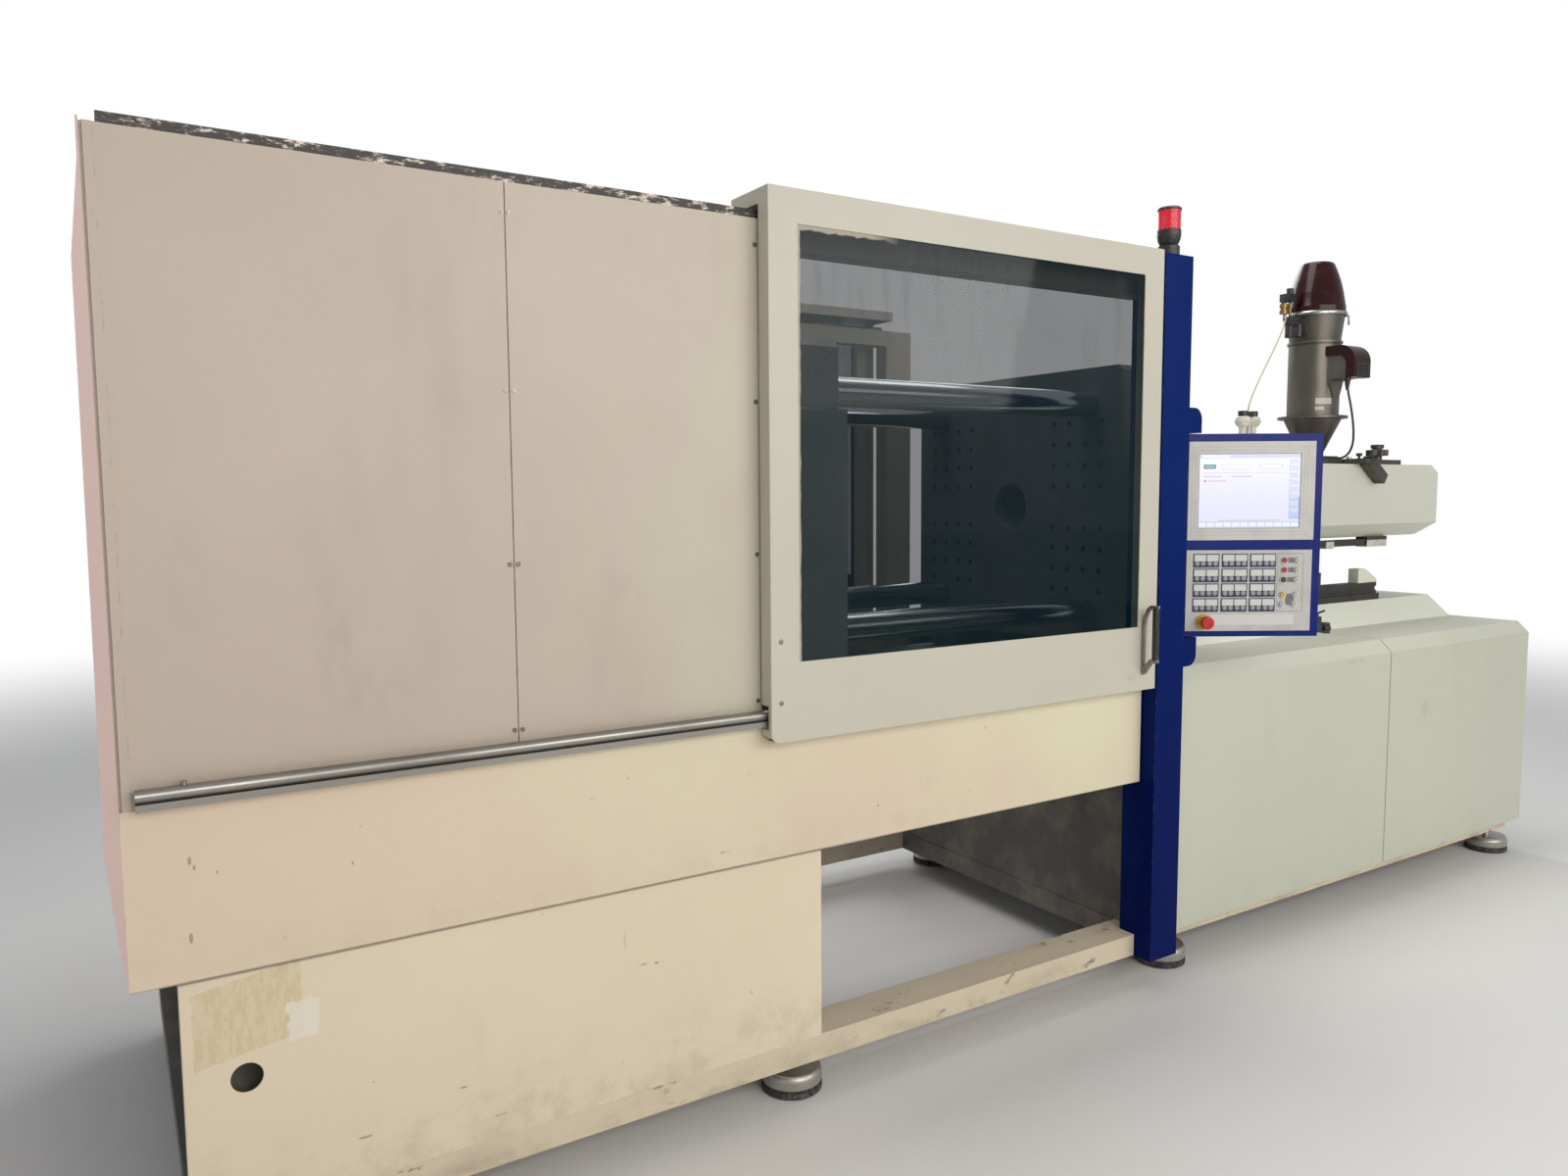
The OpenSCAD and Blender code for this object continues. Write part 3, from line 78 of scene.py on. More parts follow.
class Sock:
    """A shader socket. Arithmetic adds Math nodes, and node() adds any other node."""

    def __init__(self, tree, out):
        self.tree, self.out = tree, out

    def node(self, kind, settings=None, inputs=None, output=0):
        """Adds a node of a kind with its settings, and the values or links of its sockets."""
        n = self.tree.nodes.new("ShaderNode" + kind)
        for key, value in (settings or {}).items():
            setattr(n, key, value)
        for key, value in (inputs or {}).items():
            if isinstance(value, Sock):
                self.tree.links.new(value.out, n.inputs[key])
            else:
                n.inputs[key].default_value = value
        return Sock(self.tree, n.outputs[output])

    def math(self, op, a, b=0.0):
        """Adds a Math node on numbers or sockets."""
        return self.node("Math", {"operation": op}, {0: a, 1: b})

    def __add__(self, o):
        return self.math("ADD", self, o)

    def __radd__(self, o):
        return self.math("ADD", o, self)

    def __sub__(self, o):
        return self.math("SUBTRACT", self, o)

    def __rsub__(self, o):
        return self.math("SUBTRACT", o, self)

    def __mul__(self, o):
        return self.math("MULTIPLY", self, o)

    def __rmul__(self, o):
        return self.math("MULTIPLY", o, self)

    def __truediv__(self, o):
        return self.math("DIVIDE", self, o)

    def __rtruediv__(self, o):
        return self.math("DIVIDE", o, self)

    def above(self, low, high, to0=0.0, to1=1.0):
        """Goes smoothly from to0 to to1 as this socket goes from low to high."""
        return self.node("MapRange", {"interpolation_type": "SMOOTHSTEP"},
                         {0: self, 1: low, 2: high, 3: to0, 4: to1})

    def between(self, low, high):
        """1 from low to high, and 0 outside."""
        return self.math("GREATER_THAN", self, low) * self.math("LESS_THAN", self, high)

    def near(self, value, width):
        """1 where this socket is close to value, 0 beyond width."""
        return self.math("ABSOLUTE", self - value).above(0.0, width, 1.0, 0.0)

    def repeat(self, pitch):
        """0 to 1 over and over, once for each pitch."""
        return self.math("FRACT", self / pitch)

    def mix(self, a, b):
        """Colour a where this socket is 0, b where it is 1."""
        return self.node("Mix", {"data_type": "RGBA"}, {0: self, 6: a, 7: b}, 2)

    def noise(self, scale, detail=3.0, stretch=(1, 1, 1), rough=0.55, shift=0.0):
        """Noise at this position; scale is in features per metre."""
        moved = self.node("Mapping", None,
                          {"Vector": self, "Scale": stretch, "Location": (shift, shift, shift)})
        return self.node("TexNoise", None,
                         {"Vector": moved, "Scale": scale, "Detail": detail, "Roughness": rough})


def rgb(r, g, b):
    """A colour for a socket, in linear parts of red, green and blue."""
    return (r, g, b, 1.0)


world = bpy.data.worlds.new("studio")
world.use_nodes = True
bpy.context.scene.world = world
sky_node = world.node_tree.nodes["Background"]
sky_node.inputs["Color"].default_value = rgb(0.95, 0.97, 1.0)
sky_node.inputs["Strength"].default_value = 0.37
sky = Sock(world.node_tree, sky_node.outputs[0])
# The camera and the panes see plain white, and reflections see a part of it.
to_camera, to_mirror, through_pane = [sky.node("LightPath", None, None, i) for i in (0, 3, 6)]
white = sky.node("Background", None, {"Color": rgb(1, 1, 1), "Strength": 1.0})
mixed = sky.node("MixShader", None, {0: to_camera + to_mirror * 0.3 + through_pane, 1: sky, 2: white})
world.node_tree.links.new(mixed.out, world.node_tree.nodes["World Output"].inputs[0])


def area_light(name, place, target, size, power, colour):
    """A rectangular lamp at a place, of a width and height in metres, turned to its target."""
    data = bpy.data.lights.new(name, "AREA")
    data.shape = "RECTANGLE"
    data.size, data.size_y = size
    data.energy = power
    data.color = colour
    obj = bpy.data.objects.new(name, data)
    aim = (target - place).to_track_quat("-Z", "Y")
    obj.matrix_world = Matrix.Translation(place) @ aim.to_matrix().to_4x4()
    bpy.context.scene.collection.objects.link(obj)


area_light("key", at(1900, -5400, 3000), at(2300, 300, 1100), (5.0, 2.8), 160, (1, 0.965, 0.92))
area_light("fill", at(5600, -5200, 3200), at(4000, 300, 1000), (2.6, 2.0), 58, (1, 0.98, 0.95))
area_light("top", at(2400, 900, 4600), at(2400, 800, 900), (4.5, 1.6), 90, (1, 0.99, 0.97))
area_light("back", at(5200, 4200, 3800), at(3800, 600, 1500), (3.0, 2.0), 80, (0.95, 0.97, 1))


def material(name, colour=(0.5, 0.5, 0.5), rough=0.5, metal=0.0, **more):
    """A Principled material, its shader node, and the position on the object as a socket."""
    mat = bpy.data.materials.new(name)
    mat.use_nodes = True
    tree = mat.node_tree
    bsdf = tree.nodes["Principled BSDF"]
    bsdf.inputs["Base Color"].default_value = rgb(*colour[:3])
    bsdf.inputs["Roughness"].default_value = rough
    bsdf.inputs["Metallic"].default_value = metal
    for key, value in more.items():
        bsdf.inputs[key.replace("_", " ")].default_value = value
    coord = tree.nodes.new("ShaderNodeTexCoord")
    return mat, bsdf, Sock(tree, coord.outputs["Object"])


def wire(bsdf, pos, **inputs):
    """Links sockets into the shader node. Height is a pair of a socket and a depth in metres."""
    for key, value in inputs.items():
        if key == "Height":
            height, distance = value
            value = pos.node("Bump", None, {"Strength": 1.0, "Distance": distance, "Height": height})
            key = "Normal"
        pos.tree.links.new(value.out, bsdf.inputs[key.replace("_", " ")])


def axes(pos):
    """The position's three parts: metres to the right, to the back and up."""
    split = pos.tree.nodes.new("ShaderNodeSeparateXYZ")
    pos.tree.links.new(pos.out, split.inputs[0])
    return [Sock(pos.tree, split.outputs[i]) for i in range(3)]


# Floor: pale concrete that carries the machine's shadow, and fades to the white background
# away from it. It is part of the studio, not of the machine.
floor_mat, floor_bsdf, pos = material("floor", (0.78, 0.775, 0.765), 0.75)
x, y, z = axes(pos)
tone = pos.noise(0.8, 5).above(0.3, 0.7)
wire(floor_bsdf, pos, Base_Color=tone.mix(rgb(0.785, 0.78, 0.77), rgb(0.765, 0.76, 0.75)),
     Height=(pos.noise(160, 2), 0.0004))
far = pos.math("SQRT", x * x + y * y).above(4.5, 11.0)
glow = pos.node("Emission", None, {"Color": rgb(1, 1, 1), "Strength": 1.0})
lit = Sock(pos.tree, floor_bsdf.outputs[0])
fade = pos.node("MixShader", None, {0: far * pos.node("LightPath"), 1: lit, 2: glow})
pos.tree.links.new(fade.out, pos.tree.nodes["Material Output"].inputs[0])
bpy.ops.mesh.primitive_plane_add(size=60, location=(0, 0, -0.0005))
floor = bpy.context.object
floor.name = "floor"
floor.data.materials.append(floor_mat)


# Bed: welded beams in grey paint, the two long outer ones cream like the covers above them, on
# levelling mounts whose turned caps stand on rubber pads. The outer beams reach BEAM_IN behind
# the apron face and BED_TOP over the floor, on both sides of the machine's middle.
NODES = frame["nodes"]


def give(mat, *names):
    """Puts a material on pieces of the machine."""
    for name in names:
        data = NODES[name].data
        data.materials.clear()
        data.materials.append(mat)


BEAM_IN, BED_TOP, MACHINE_MID = 134, 166, 685
mat, bsdf, pos = material("frame_paint", (0.10, 0.097, 0.09), 0.55)
x, y, z = axes(pos)
dust = pos.noise(5, 6, rough=0.7).above(0.42, 0.72)
grey = dust.mix(rgb(0.105, 0.10, 0.092), rgb(0.22, 0.195, 0.16))
mid = at(0, MACHINE_MID, 0).y
reach = (MACHINE_MID - BEAM_IN) / 1000
outer = pos.math("ABSOLUTE", y - mid).above(reach, reach + 0.002)
outer = outer * z.above(BED_TOP / 1000, (BED_TOP + 1) / 1000, 1.0, 0.0)
kicked = pos.noise(22, 6, (0.5, 1, 1), 0.7).above(0.60, 0.68)
foot = z.above(0.10, 0.16, 0.75, 0.15) * pos.noise(9, 5, (0.5, 1, 1), 0.7).above(0.40, 0.75)
cream_coat = foot.mix(rgb(0.68, 0.58, 0.43), rgb(0.34, 0.27, 0.19))
cream_coat = (kicked * 0.7).mix(cream_coat, rgb(0.10, 0.09, 0.08))
wire(bsdf, pos, Base_Color=outer.mix(grey, cream_coat), Roughness=0.5 + dust * 0.2)
give(mat, "bed_frame")

mat, bsdf, pos = material("mount_steel", (0.4, 0.38, 0.35), 0.38, 0.9)
x, y, z = axes(pos)
dust = pos.noise(30, 5, rough=0.7).above(0.4, 0.7) * z.above(0.02, 0.07, 1.0, 0.35)
wire(bsdf, pos, Base_Color=dust.mix(rgb(0.46, 0.44, 0.41), rgb(0.30, 0.26, 0.21)),
     Roughness=0.3 + dust * 0.35, Metallic=0.9 - dust * 0.5)
give(mat, "foot_mounts")

mat, bsdf, pos = material("pad_rubber", (0.03, 0.03, 0.03), 0.85)
dust = pos.noise(60, 4, rough=0.7).above(0.4, 0.7)
wire(bsdf, pos, Base_Color=dust.mix(rgb(0.03, 0.029, 0.028), rgb(0.12, 0.11, 0.10)),
     Height=(pos.noise(300, 2), 0.0003))
give(mat, "foot_pads")


# Covers: base panels, aprons, guard panels, corner posts, roof and end cover are folded from
# sheet steel, powder coated in warm cream and screwed to the guard frame along their seams.
def shade(colour, k):
    """The colour made darker or lighter by a factor."""
    return rgb(*[c * k for c in colour[:3]])


def soften(width, *names):
    """A small round on the edges of folded sheet or machined steel, so that they catch the light."""
    for name in names:
        mod = NODES[name].modifiers.new("edge", "BEVEL")
        mod.width = width
        mod.segments = 2
        mod.limit_method = "ANGLE"
        mod.angle_limit = math.radians(40)
        mod.harden_normals = True


def worn_edge(pos, reach):
    """1 on convex edges, 0 on flat faces, over reach metres."""
    geo = pos.node("NewGeometry", None, None, 1)
    bent = pos.node("Bevel", {"samples": 4}, {"Radius": reach})
    flat = pos.node("VectorMath", {"operation": "DOT_PRODUCT"}, {0: geo, 1: bent}, 1)
    return (1.0 - flat).above(0.02, 0.25)


def cream(name, base, dirt, rough, smudge, low, shift, marks=(), foot_dirt=0.12, right_base=None):
    """Cream coat: slow change of tone, wiped dirt, chips, scuffed edges, orange peel, dirt towards
    the height low, and another tone towards the right when right_base is given."""
    mat, bsdf, pos = material(name, base, rough)
    x, y, z = axes(pos)
    slow = pos.noise(0.9, 4, shift=shift).above(0.35, 0.7)
    wipe = pos.noise(2.6, 6, (1.0, 1.0, 0.28), 0.62, shift).above(0.56, 0.82)
    speck = pos.noise(46, 3, rough=0.7, shift=shift).above(0.72, 0.77)
    line = pos.noise(7.0, 2, (9.0, 9.0, 0.5), 0.5, shift).above(0.81, 0.84)
    foot = z.above(low, low + 0.22, 1.0, 0.0) * pos.noise(11, 5, rough=0.7).above(0.42, 0.75)
    tone = rgb(*base)
    if right_base:
        tone = x.above(at(300, 0, 0).x, at(1500, 0, 0).x).mix(tone, rgb(*right_base))
    tone = slow.mix(tone, shade(base, 0.95))
    stain = wipe * smudge + foot * foot_dirt
    for px, pz, wide, tall, dark in marks:
        blur = pos.noise(24, 4, (1, 1, 0.5), shift=px).above(0.35, 0.7)
        spot = ((x - px) / wide).near(0.0, 1.0) * ((z - pz) / tall).near(0.0, 1.0)
        stain = stain + spot * blur * dark
    tone = pos.math("MINIMUM", stain, 0.85).mix(tone, rgb(*dirt))
    tone = (speck * 0.5 + line * 0.2).mix(tone, shade(dirt, 0.45))
    chip = worn_edge(pos, 0.0035) * pos.noise(30, 5, rough=0.7, shift=shift).above(0.5, 0.62)
    tone = (chip * 0.45).mix(tone, rgb(0.10, 0.09, 0.08))
    wire(bsdf, pos, Base_Color=tone, Roughness=rough + wipe * 0.16 + slow * 0.05,
         Height=(pos.noise(520, 2) + speck * -2.0, 0.00012))
    return mat, bsdf, pos, tone


def mark(x, z, wide, tall, dark):
    """A smudge at a place on the front, in millimetres, for cream()."""
    p = at(x, 0, z)
    return (p.x, p.z, wide / 1000, tall / 1000, dark)


CREAM_DIRT = (0.36, 0.27, 0.19)
CHIP, APRON_FOOT, BASE_TOP = 5.0, 659, 654
smudges = (mark(400, 1290, 70, 150, 0.24), mark(470, 1170, 110, 80, 0.24),
           mark(1010, 1345, 90, 60, 0.16), mark(150, 1400, 60, 160, 0.14))
# The guard panels take the cream darker than the aprons and base panels: painted shade, as all are one coat.
mat, bsdf, pos, tone = cream("guard_paint", (0.560, 0.470, 0.385), (0.33, 0.265, 0.21), rough=0.42,
                             smudge=0.22, low=0.90, shift=1.3, marks=smudges,
                             right_base=(0.570, 0.530, 0.420))
give(mat, "guard_panels", "guard_frame", "guard_roof")
mat, bsdf, pos, tone = cream("end_paint", (0.665, 0.495, 0.455), CREAM_DIRT, rough=0.42,
                             smudge=0.22, low=0.60, shift=5.2)
give(mat, "end_cover")
chips = [mark(px, pz, w, h, CHIP) for px, pz, w, h in (
    (132, 888, 4, 10), (139, 874, 3, 6), (128, 742, 4, 12), (176, 858, 3, 5), (415, 832, 3, 6),
    (1254, 701, 20, 3), (1710, 742, 4, 3), (2080, 905, 3, 5))]
# The aprons take the same cream lighter than the guard panels: painted light.
mat, bsdf, pos, tone = cream("apron_paint", (0.750, 0.610, 0.460), CREAM_DIRT, rough=0.42,
                             smudge=0.2, low=0.62, shift=7.7, marks=chips,
                             right_base=(0.730, 0.685, 0.492))
x, y, z = axes(pos)
# A dark line along the apron's lower edge is painted shade in the gap under its overhang.
overhang_shadow = z.near(at(0, 0, APRON_FOOT).z, 0.004)
wire(bsdf, pos, Base_Color=(overhang_shadow * 0.55).mix(tone, rgb(0.12, 0.10, 0.08)))
give(mat, "aprons")

# Base panels: the same sheet and coat, chipped and dusty near the floor, with the cream set lighter
# than the guard panels' as painted light. The front one keeps the yellowed glue of a sheet that was
# torn off, with a rag of its paper.
chips = [mark(px, pz, w, h, CHIP) for px, pz, w, h in (
    (1040, 470, 18, 3), (1075, 466, 7, 3), (620, 300, 9, 3), (420, 255, 16, 3), (700, 215, 18, 3),
    (985, 250, 4, 7), (1330, 330, 3, 6), (300, 205, 12, 4))]
mat, bsdf, pos, tone = cream("base_paint", (0.790, 0.670, 0.500), CREAM_DIRT, rough=0.44,
                             smudge=0.25, low=0.165, shift=3.1, marks=chips, foot_dirt=0.35,
                             right_base=(0.775, 0.706, 0.530))
x, y, z = axes(pos)
lo, hi = at(128, 0, 493), at(319, 0, 643)
rag_lo, rag_hi = at(268, 0, 515), at(323, 0, 590)
edge = pos.noise(40, 4, rough=0.7) * 0.012
front = y.above(at(0, 200, 0).y, at(0, 210, 0).y, 1.0, 0.0)
slant = z - edge - (x - lo.x) * 0.16
glue = (x + edge).between(lo.x, hi.x) * slant.between(lo.z - 0.02, hi.z - 0.02) * front
torn = (x - edge * 3.0).between(rag_lo.x, rag_hi.x) * (z + edge * 3.0).between(rag_lo.z, rag_hi.z)
spots = pos.noise(90, 4, (1, 1, 0.3), 0.75).above(0.40, 0.62)
tone = (glue * (0.30 + spots * 0.45)).mix(tone, rgb(0.62, 0.50, 0.27))
tone = (torn * front * 0.8).mix(tone, rgb(0.80, 0.75, 0.64))
# A dark line along the base panel's top is the apron's painted shadow, where the apron overhangs it.
overhang_shadow = z.near(at(0, 0, BASE_TOP).z, 0.006)
tone = (overhang_shadow * 0.7).mix(tone, rgb(0.10, 0.085, 0.07))
wire(bsdf, pos, Base_Color=tone)
give(mat, "base_panels")
soften(0.0015, "aprons", "guard_panels", "base_panels", "end_cover")

# Panel screws: small round heads of plated steel along the seams, dull with age. They hold the
# panels to the frame behind them.
mat, bsdf, pos = material("screw_plating", (0.5, 0.48, 0.44), 0.32, 1.0)
tone = pos.noise(400, 2).above(0.4, 0.6)
wire(bsdf, pos, Base_Color=tone.mix(rgb(0.34, 0.32, 0.28), rgb(0.16, 0.15, 0.13)))
give(mat, "panel_screws")


# Door rails: a channel along the guard's top edge, whose black paint the door has worn off, and
# a galvanised tube below. Both are screwed to the guard frame and carry the sliding doors.
mat, bsdf, pos = material("rail_channel", (0.2, 0.17, 0.15), 0.5, 0.3)
worn = pos.noise(90, 6, (0.3, 1, 1), 0.75).above(0.50, 0.62)
wire(bsdf, pos, Base_Color=worn.mix(rgb(0.055, 0.048, 0.045), rgb(0.36, 0.31, 0.27)),
     Roughness=0.55 - worn * 0.2, Metallic=0.2 + worn * 0.5)
give(mat, "top_rails")

mat, bsdf, pos = material("tube_zinc", (0.42, 0.42, 0.41), 0.33, 0.9)
run = pos.noise(6, 4, (0.25, 1, 1)).above(0.4, 0.7)
scrape = pos.noise(60, 4, (0.06, 1, 1)).above(0.55, 0.7)
wire(bsdf, pos, Base_Color=run.mix(rgb(0.36, 0.34, 0.31), rgb(0.25, 0.235, 0.21)),
     Roughness=0.30 + run * 0.2 - scrape * 0.12, Height=(pos.noise(260, 3, (0.2, 1, 1)), 0.0001))
give(mat, "bottom_rails")


# Guard doors: frames folded from sheet steel in a lighter cream coat. They hang on the top rail
# and run on the tube below.
mat, bsdf, pos, tone = cream("door_paint", (0.590, 0.565, 0.465), (0.38, 0.31, 0.22), rough=0.40,
                             smudge=0.15, low=0.93, shift=9.4, marks=(mark(2600, 1000, 40, 20, 0.8),),
                             foot_dirt=0.05)
give(mat, "operator_door", "rear_door")
soften(0.0018, "operator_door", "rear_door")


def show(name, mesh, mat, body, place=Vector((0, 0, 0)), tilt=Matrix.Identity(3)):
    """Puts a mesh into the scene, with flat faces kept sharp, and lets it ride on a body."""
    for face in mesh.polygons:
        face.use_smooth = True
    mesh.set_sharp_from_angle(angle=math.radians(35))
    mesh.materials.append(mat)
    obj = bpy.data.objects.new(name, mesh)
    obj.matrix_world = Matrix.Translation(place) @ tilt.to_4x4()
    bpy.context.scene.collection.objects.link(obj)
    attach(obj, body)
    return obj


def turned(name, profile, mat, body, place, tilt=Matrix.Identity(3), ring=False, sides=48):
    """A turned piece: profile holds radius and height in millimetres, from the bottom up. A ring is
    open inside."""
    bm = bmesh.new()
    loops = []
    step = 2 * math.pi / sides
    for r, h in profile:
        loops.append([bm.verts.new((r / 1000 * math.cos(step * k), r / 1000 * math.sin(step * k), h / 1000))
                      for k in range(sides)])
    if ring:
        loops.append(loops[0])
    else:
        bm.faces.new(list(reversed(loops[0])))
        bm.faces.new(loops[-1])
    for a, b in zip(loops, loops[1:]):
        for k in range(sides):
            bm.faces.new((a[k], a[(k + 1) % sides], b[(k + 1) % sides], b[k]))
    mesh = bpy.data.meshes.new(name)
    bm.to_mesh(mesh)
    bm.free()
    return show(name, mesh, mat, body, place, tilt)


# Door screws: turned round heads of plated steel with a recess, one over the other in the left
# stile of each door.
SCREW_HEAD = [(5.8, -0.4), (5.8, 0.8), (5.0, 2.3), (3.4, 3.2), (2.6, 3.3), (2.4, 1.4), (0.3, 1.3)]
SCREW_X, SCREW_HEIGHTS = 1384, (1055, 1203)
DOOR_FRONT, DOOR_REAR = -51, 1421
mat, bsdf, pos = material("door_screw_zinc", (0.3, 0.29, 0.26), 0.35, 0.9)
tone = pos.noise(500, 2).above(0.4, 0.6)
wire(bsdf, pos, Base_Color=tone.mix(rgb(0.40, 0.38, 0.34), rgb(0.22, 0.20, 0.18)))
for body, face_y, side in (("operator_door", DOOR_FRONT, 1), ("rear_door", DOOR_REAR, -1)):
    for i, z in enumerate(SCREW_HEIGHTS):
        turned(f"{body}_screw_{i}", SCREW_HEAD, mat, body, at(SCREW_X, face_y, z),
               Matrix.Rotation(side * math.pi / 2, 3, "X"))

# Windows: tinted clear plastic, clamped in the door frames. Old film clings to the top and left
# edges, and wiping has left streaks in the upper part.
mat, bsdf, pos = material("window_tint", (0.01, 0.02, 0.03), 0.05, 0.0, Alpha=0.5, Specular_IOR_Level=0.2)
x, y, z = axes(pos)
PANE_LEFT, PANE_TOP, FILM_END = 1436, 2179, 1760
pane_left, pane_top = at(PANE_LEFT, 0, 0).x, at(0, 0, PANE_TOP).z
ragged = pos.noise(26, 5, (1, 0, 0.6), 0.7)
top_film = (z + ragged * 0.034).above(pane_top + 0.004, pane_top + 0.008)
top_film = top_film * x.above(at(FILM_END - 120, 0, 0).x, at(FILM_END, 0, 0).x, 1.0, 0.0)
side_film = (x - ragged * 0.012).above(pane_left, pane_left + 0.004, 1.0, 0.0)
film = pos.math("MAXIMUM", top_film, side_film)
streak = pos.noise(9, 6, (1.6, 1, 0.25), 0.7, 4.0).above(0.50, 0.80)
streak = streak * z.above(pane_top - 0.45, pane_top, 0.0, 1.0)
haze = pos.noise(1.6, 5, rough=0.6, shift=2.0).above(0.4, 0.8)
tone = haze.mix(rgb(0.001, 0.012, 0.017), rgb(0.002, 0.017, 0.023))
tone = (streak * 0.22).mix(tone, rgb(0.22, 0.24, 0.24))
tone = film.mix(tone, rgb(0.46, 0.42, 0.34))
wire(bsdf, pos, Base_Color=tone, Alpha=0.53 + streak * 0.16 + haze * 0.03 + film * 0.36,
     Roughness=0.04 + streak * 0.25 + film * 0.4)
give(mat, "operator_window", "rear_window")

# Door handles and runners: the front handle is a bent flat steel bar with a black moulded grip,
# the rear one is moulded whole, and white plastic runners ride on the tube.
mat, bsdf, pos = material("handle_bar", (0.30, 0.26, 0.22), 0.4, 0.5)
tone = pos.noise(80, 4).above(0.4, 0.65)
wire(bsdf, pos, Base_Color=tone.mix(rgb(0.30, 0.265, 0.22), rgb(0.20, 0.175, 0.145)))
give(mat, "operator_handle")

mat, bsdf, pos = material("black_plastic", (0.02, 0.02, 0.02), 0.42)
tone = pos.noise(120, 4).above(0.45, 0.7)
wire(bsdf, pos, Base_Color=tone.mix(rgb(0.016, 0.016, 0.016), rgb(0.045, 0.043, 0.040)),
     Roughness=0.36 + tone * 0.2, Height=(pos.noise(900, 2), 0.00008))
give(mat, "operator_grip", "rear_handle", "lamp_housing", "panel_clamp")

mat, bsdf, pos = material("runner_plastic", (0.7, 0.69, 0.64), 0.5)
tone = pos.noise(50, 3)
wire(bsdf, pos, Base_Color=tone.mix(rgb(0.74, 0.73, 0.68), rgb(0.55, 0.52, 0.46)))
give(mat, "operator_guides", "rear_guides")


# Clamping unit: cast platens and cylinder in grey paint, on ground steel tie bars. The ram, the
# screw and the hopper's gate are ground too; nuts, ejector, barrel and rails are dark machined.
mat, bsdf, pos = material("cast_grey", (0.16, 0.165, 0.17), 0.55, 0.1)
tone = pos.noise(8, 6, rough=0.7).above(0.4, 0.7)
wire(bsdf, pos, Base_Color=tone.mix(rgb(0.185, 0.19, 0.195), rgb(0.150, 0.152, 0.152)),
     Roughness=0.45 + tone * 0.2, Height=(pos.noise(260, 3), 0.00015))
give(mat, "fixed_platen", "clamp_cylinder", "moving_platen")
soften(0.003, "fixed_platen", "moving_platen")

mat, bsdf, pos = material("ground_steel", (0.62, 0.63, 0.64), 0.16, 1.0)
tone = pos.noise(9, 4, (0.15, 1, 1)).above(0.4, 0.7)
wire(bsdf, pos, Roughness=0.13 + tone * 0.04,
     Base_Color=tone.mix(rgb(0.60, 0.66, 0.68), rgb(0.54, 0.58, 0.60)))
give(mat, "tie_bars", "clamp_ram", "screw", "hopper_gate")

mat, bsdf, pos = material("dark_machined", (0.06, 0.058, 0.052), 0.4, 0.6)
tone = pos.noise(10, 6, rough=0.7).above(0.42, 0.7)
wire(bsdf, pos, Base_Color=tone.mix(rgb(0.070, 0.066, 0.058), rgb(0.035, 0.033, 0.03)),
     Roughness=0.36 + tone * 0.25, Metallic=0.6 - tone * 0.35)
give(mat, "carriage_rails", "carriage_frame", "barrel", "nozzle", "ejector_plate", "tie_bar_nuts")


# Mould shields: thin steel sheets on the moving platen that cover the mould space's sides, in a
# white coat that is wiped and slightly blue.
mat, bsdf, pos = material("shield_paint", (0.70, 0.79, 0.80), 0.45)
tone = pos.noise(3, 5).above(0.35, 0.7)
wire(bsdf, pos, Base_Color=tone.mix(rgb(0.72, 0.80, 0.81), rgb(0.58, 0.66, 0.68)),
     Roughness=0.4 + tone * 0.15)
give(mat, "mould_shields")


# Control column and swivel bracket: square steel tube and bent plate in royal blue paint that is
# chipped along the edges. The bracket on the column carries the control panel.
mat, bsdf, pos = material("blue_paint", (0.006, 0.03, 0.20), 0.42, Specular_IOR_Level=0.05)
x, y, z = axes(pos)
wipe = pos.noise(5, 5, (1, 1, 0.3), 0.65).above(0.52, 0.8)
# The blue is darker at the column's foot and lighter towards its top: painted shade and painted light.
lit_towards_top = z.above(0.4, 1.7, 0.0, 1.0)
tone = lit_towards_top.mix(rgb(0.0005, 0.0070, 0.090), rgb(0.0020, 0.0170, 0.130))
tone = (wipe * 0.3).mix(tone, rgb(0.012, 0.032, 0.14))
chip = worn_edge(pos, 0.004) * pos.noise(40, 5, rough=0.7).above(0.52, 0.62)
wire(bsdf, pos, Base_Color=(chip * 0.5).mix(tone, rgb(0.25, 0.24, 0.22)), Roughness=0.33 + wipe * 0.2,
     Height=(pos.noise(520, 2), 0.0001))
give(mat, "control_column", "swivel_bracket")
soften(0.008, "control_column")
soften(0.002, "swivel_bracket")


# Signal lamp: a ribbed lens moulded from clear red plastic, lit from inside and clipped into the
# black housing on the column's top.
mat, bsdf, pos = material("lens_red", (0.75, 0.01, 0.03), 0.15, Transmission_Weight=0.2,
                          Emission_Strength=0.22, Emission_Color=rgb(0.9, 0.02, 0.05))
x, y, z = axes(pos)
ribs = pos.math("SINE", z * 900.0).above(-0.2, 0.6)
wire(bsdf, pos, Base_Color=ribs.mix(rgb(0.42, 0.004, 0.018), rgb(0.80, 0.02, 0.05)), Height=(ribs, 0.0008))
give(mat, "lamp_lens")


# Control panel: blue case, pale display bezel with its lit display, keypad plate with rubber
# keys, and a stop button on a yellow collar. It hangs turned to the operator on its swivel.
PANEL_TURN = math.radians(32)
hinge = next(j for j in frame["joints"] if j["name"] == "panel_swivel")["pos_m"]


def panel_axes(pos):
    """Metres to the right along the panel's front, back from the hinge, and up."""
    x, y, z = axes(pos)
    dx, dy = x - hinge[0], y - hinge[1]
    return (dx * math.cos(PANEL_TURN) - dy * math.sin(PANEL_TURN),
            dx * math.sin(PANEL_TURN) + dy * math.cos(PANEL_TURN), z)


def panel_box(name):
    """Lowest and highest corner of a piece of the panel, along the panel's own axes."""
    spots = [v.co - Vector(hinge) for v in NODES[name].data.vertices]
    c, s = math.cos(PANEL_TURN), math.sin(PANEL_TURN)
    uvz = [(p.x * c - p.y * s, p.x * s + p.y * c, p.z + hinge[2]) for p in spots]
    return [min(q[i] for q in uvz) for i in range(3)], [max(q[i] for q in uvz) for i in range(3)]


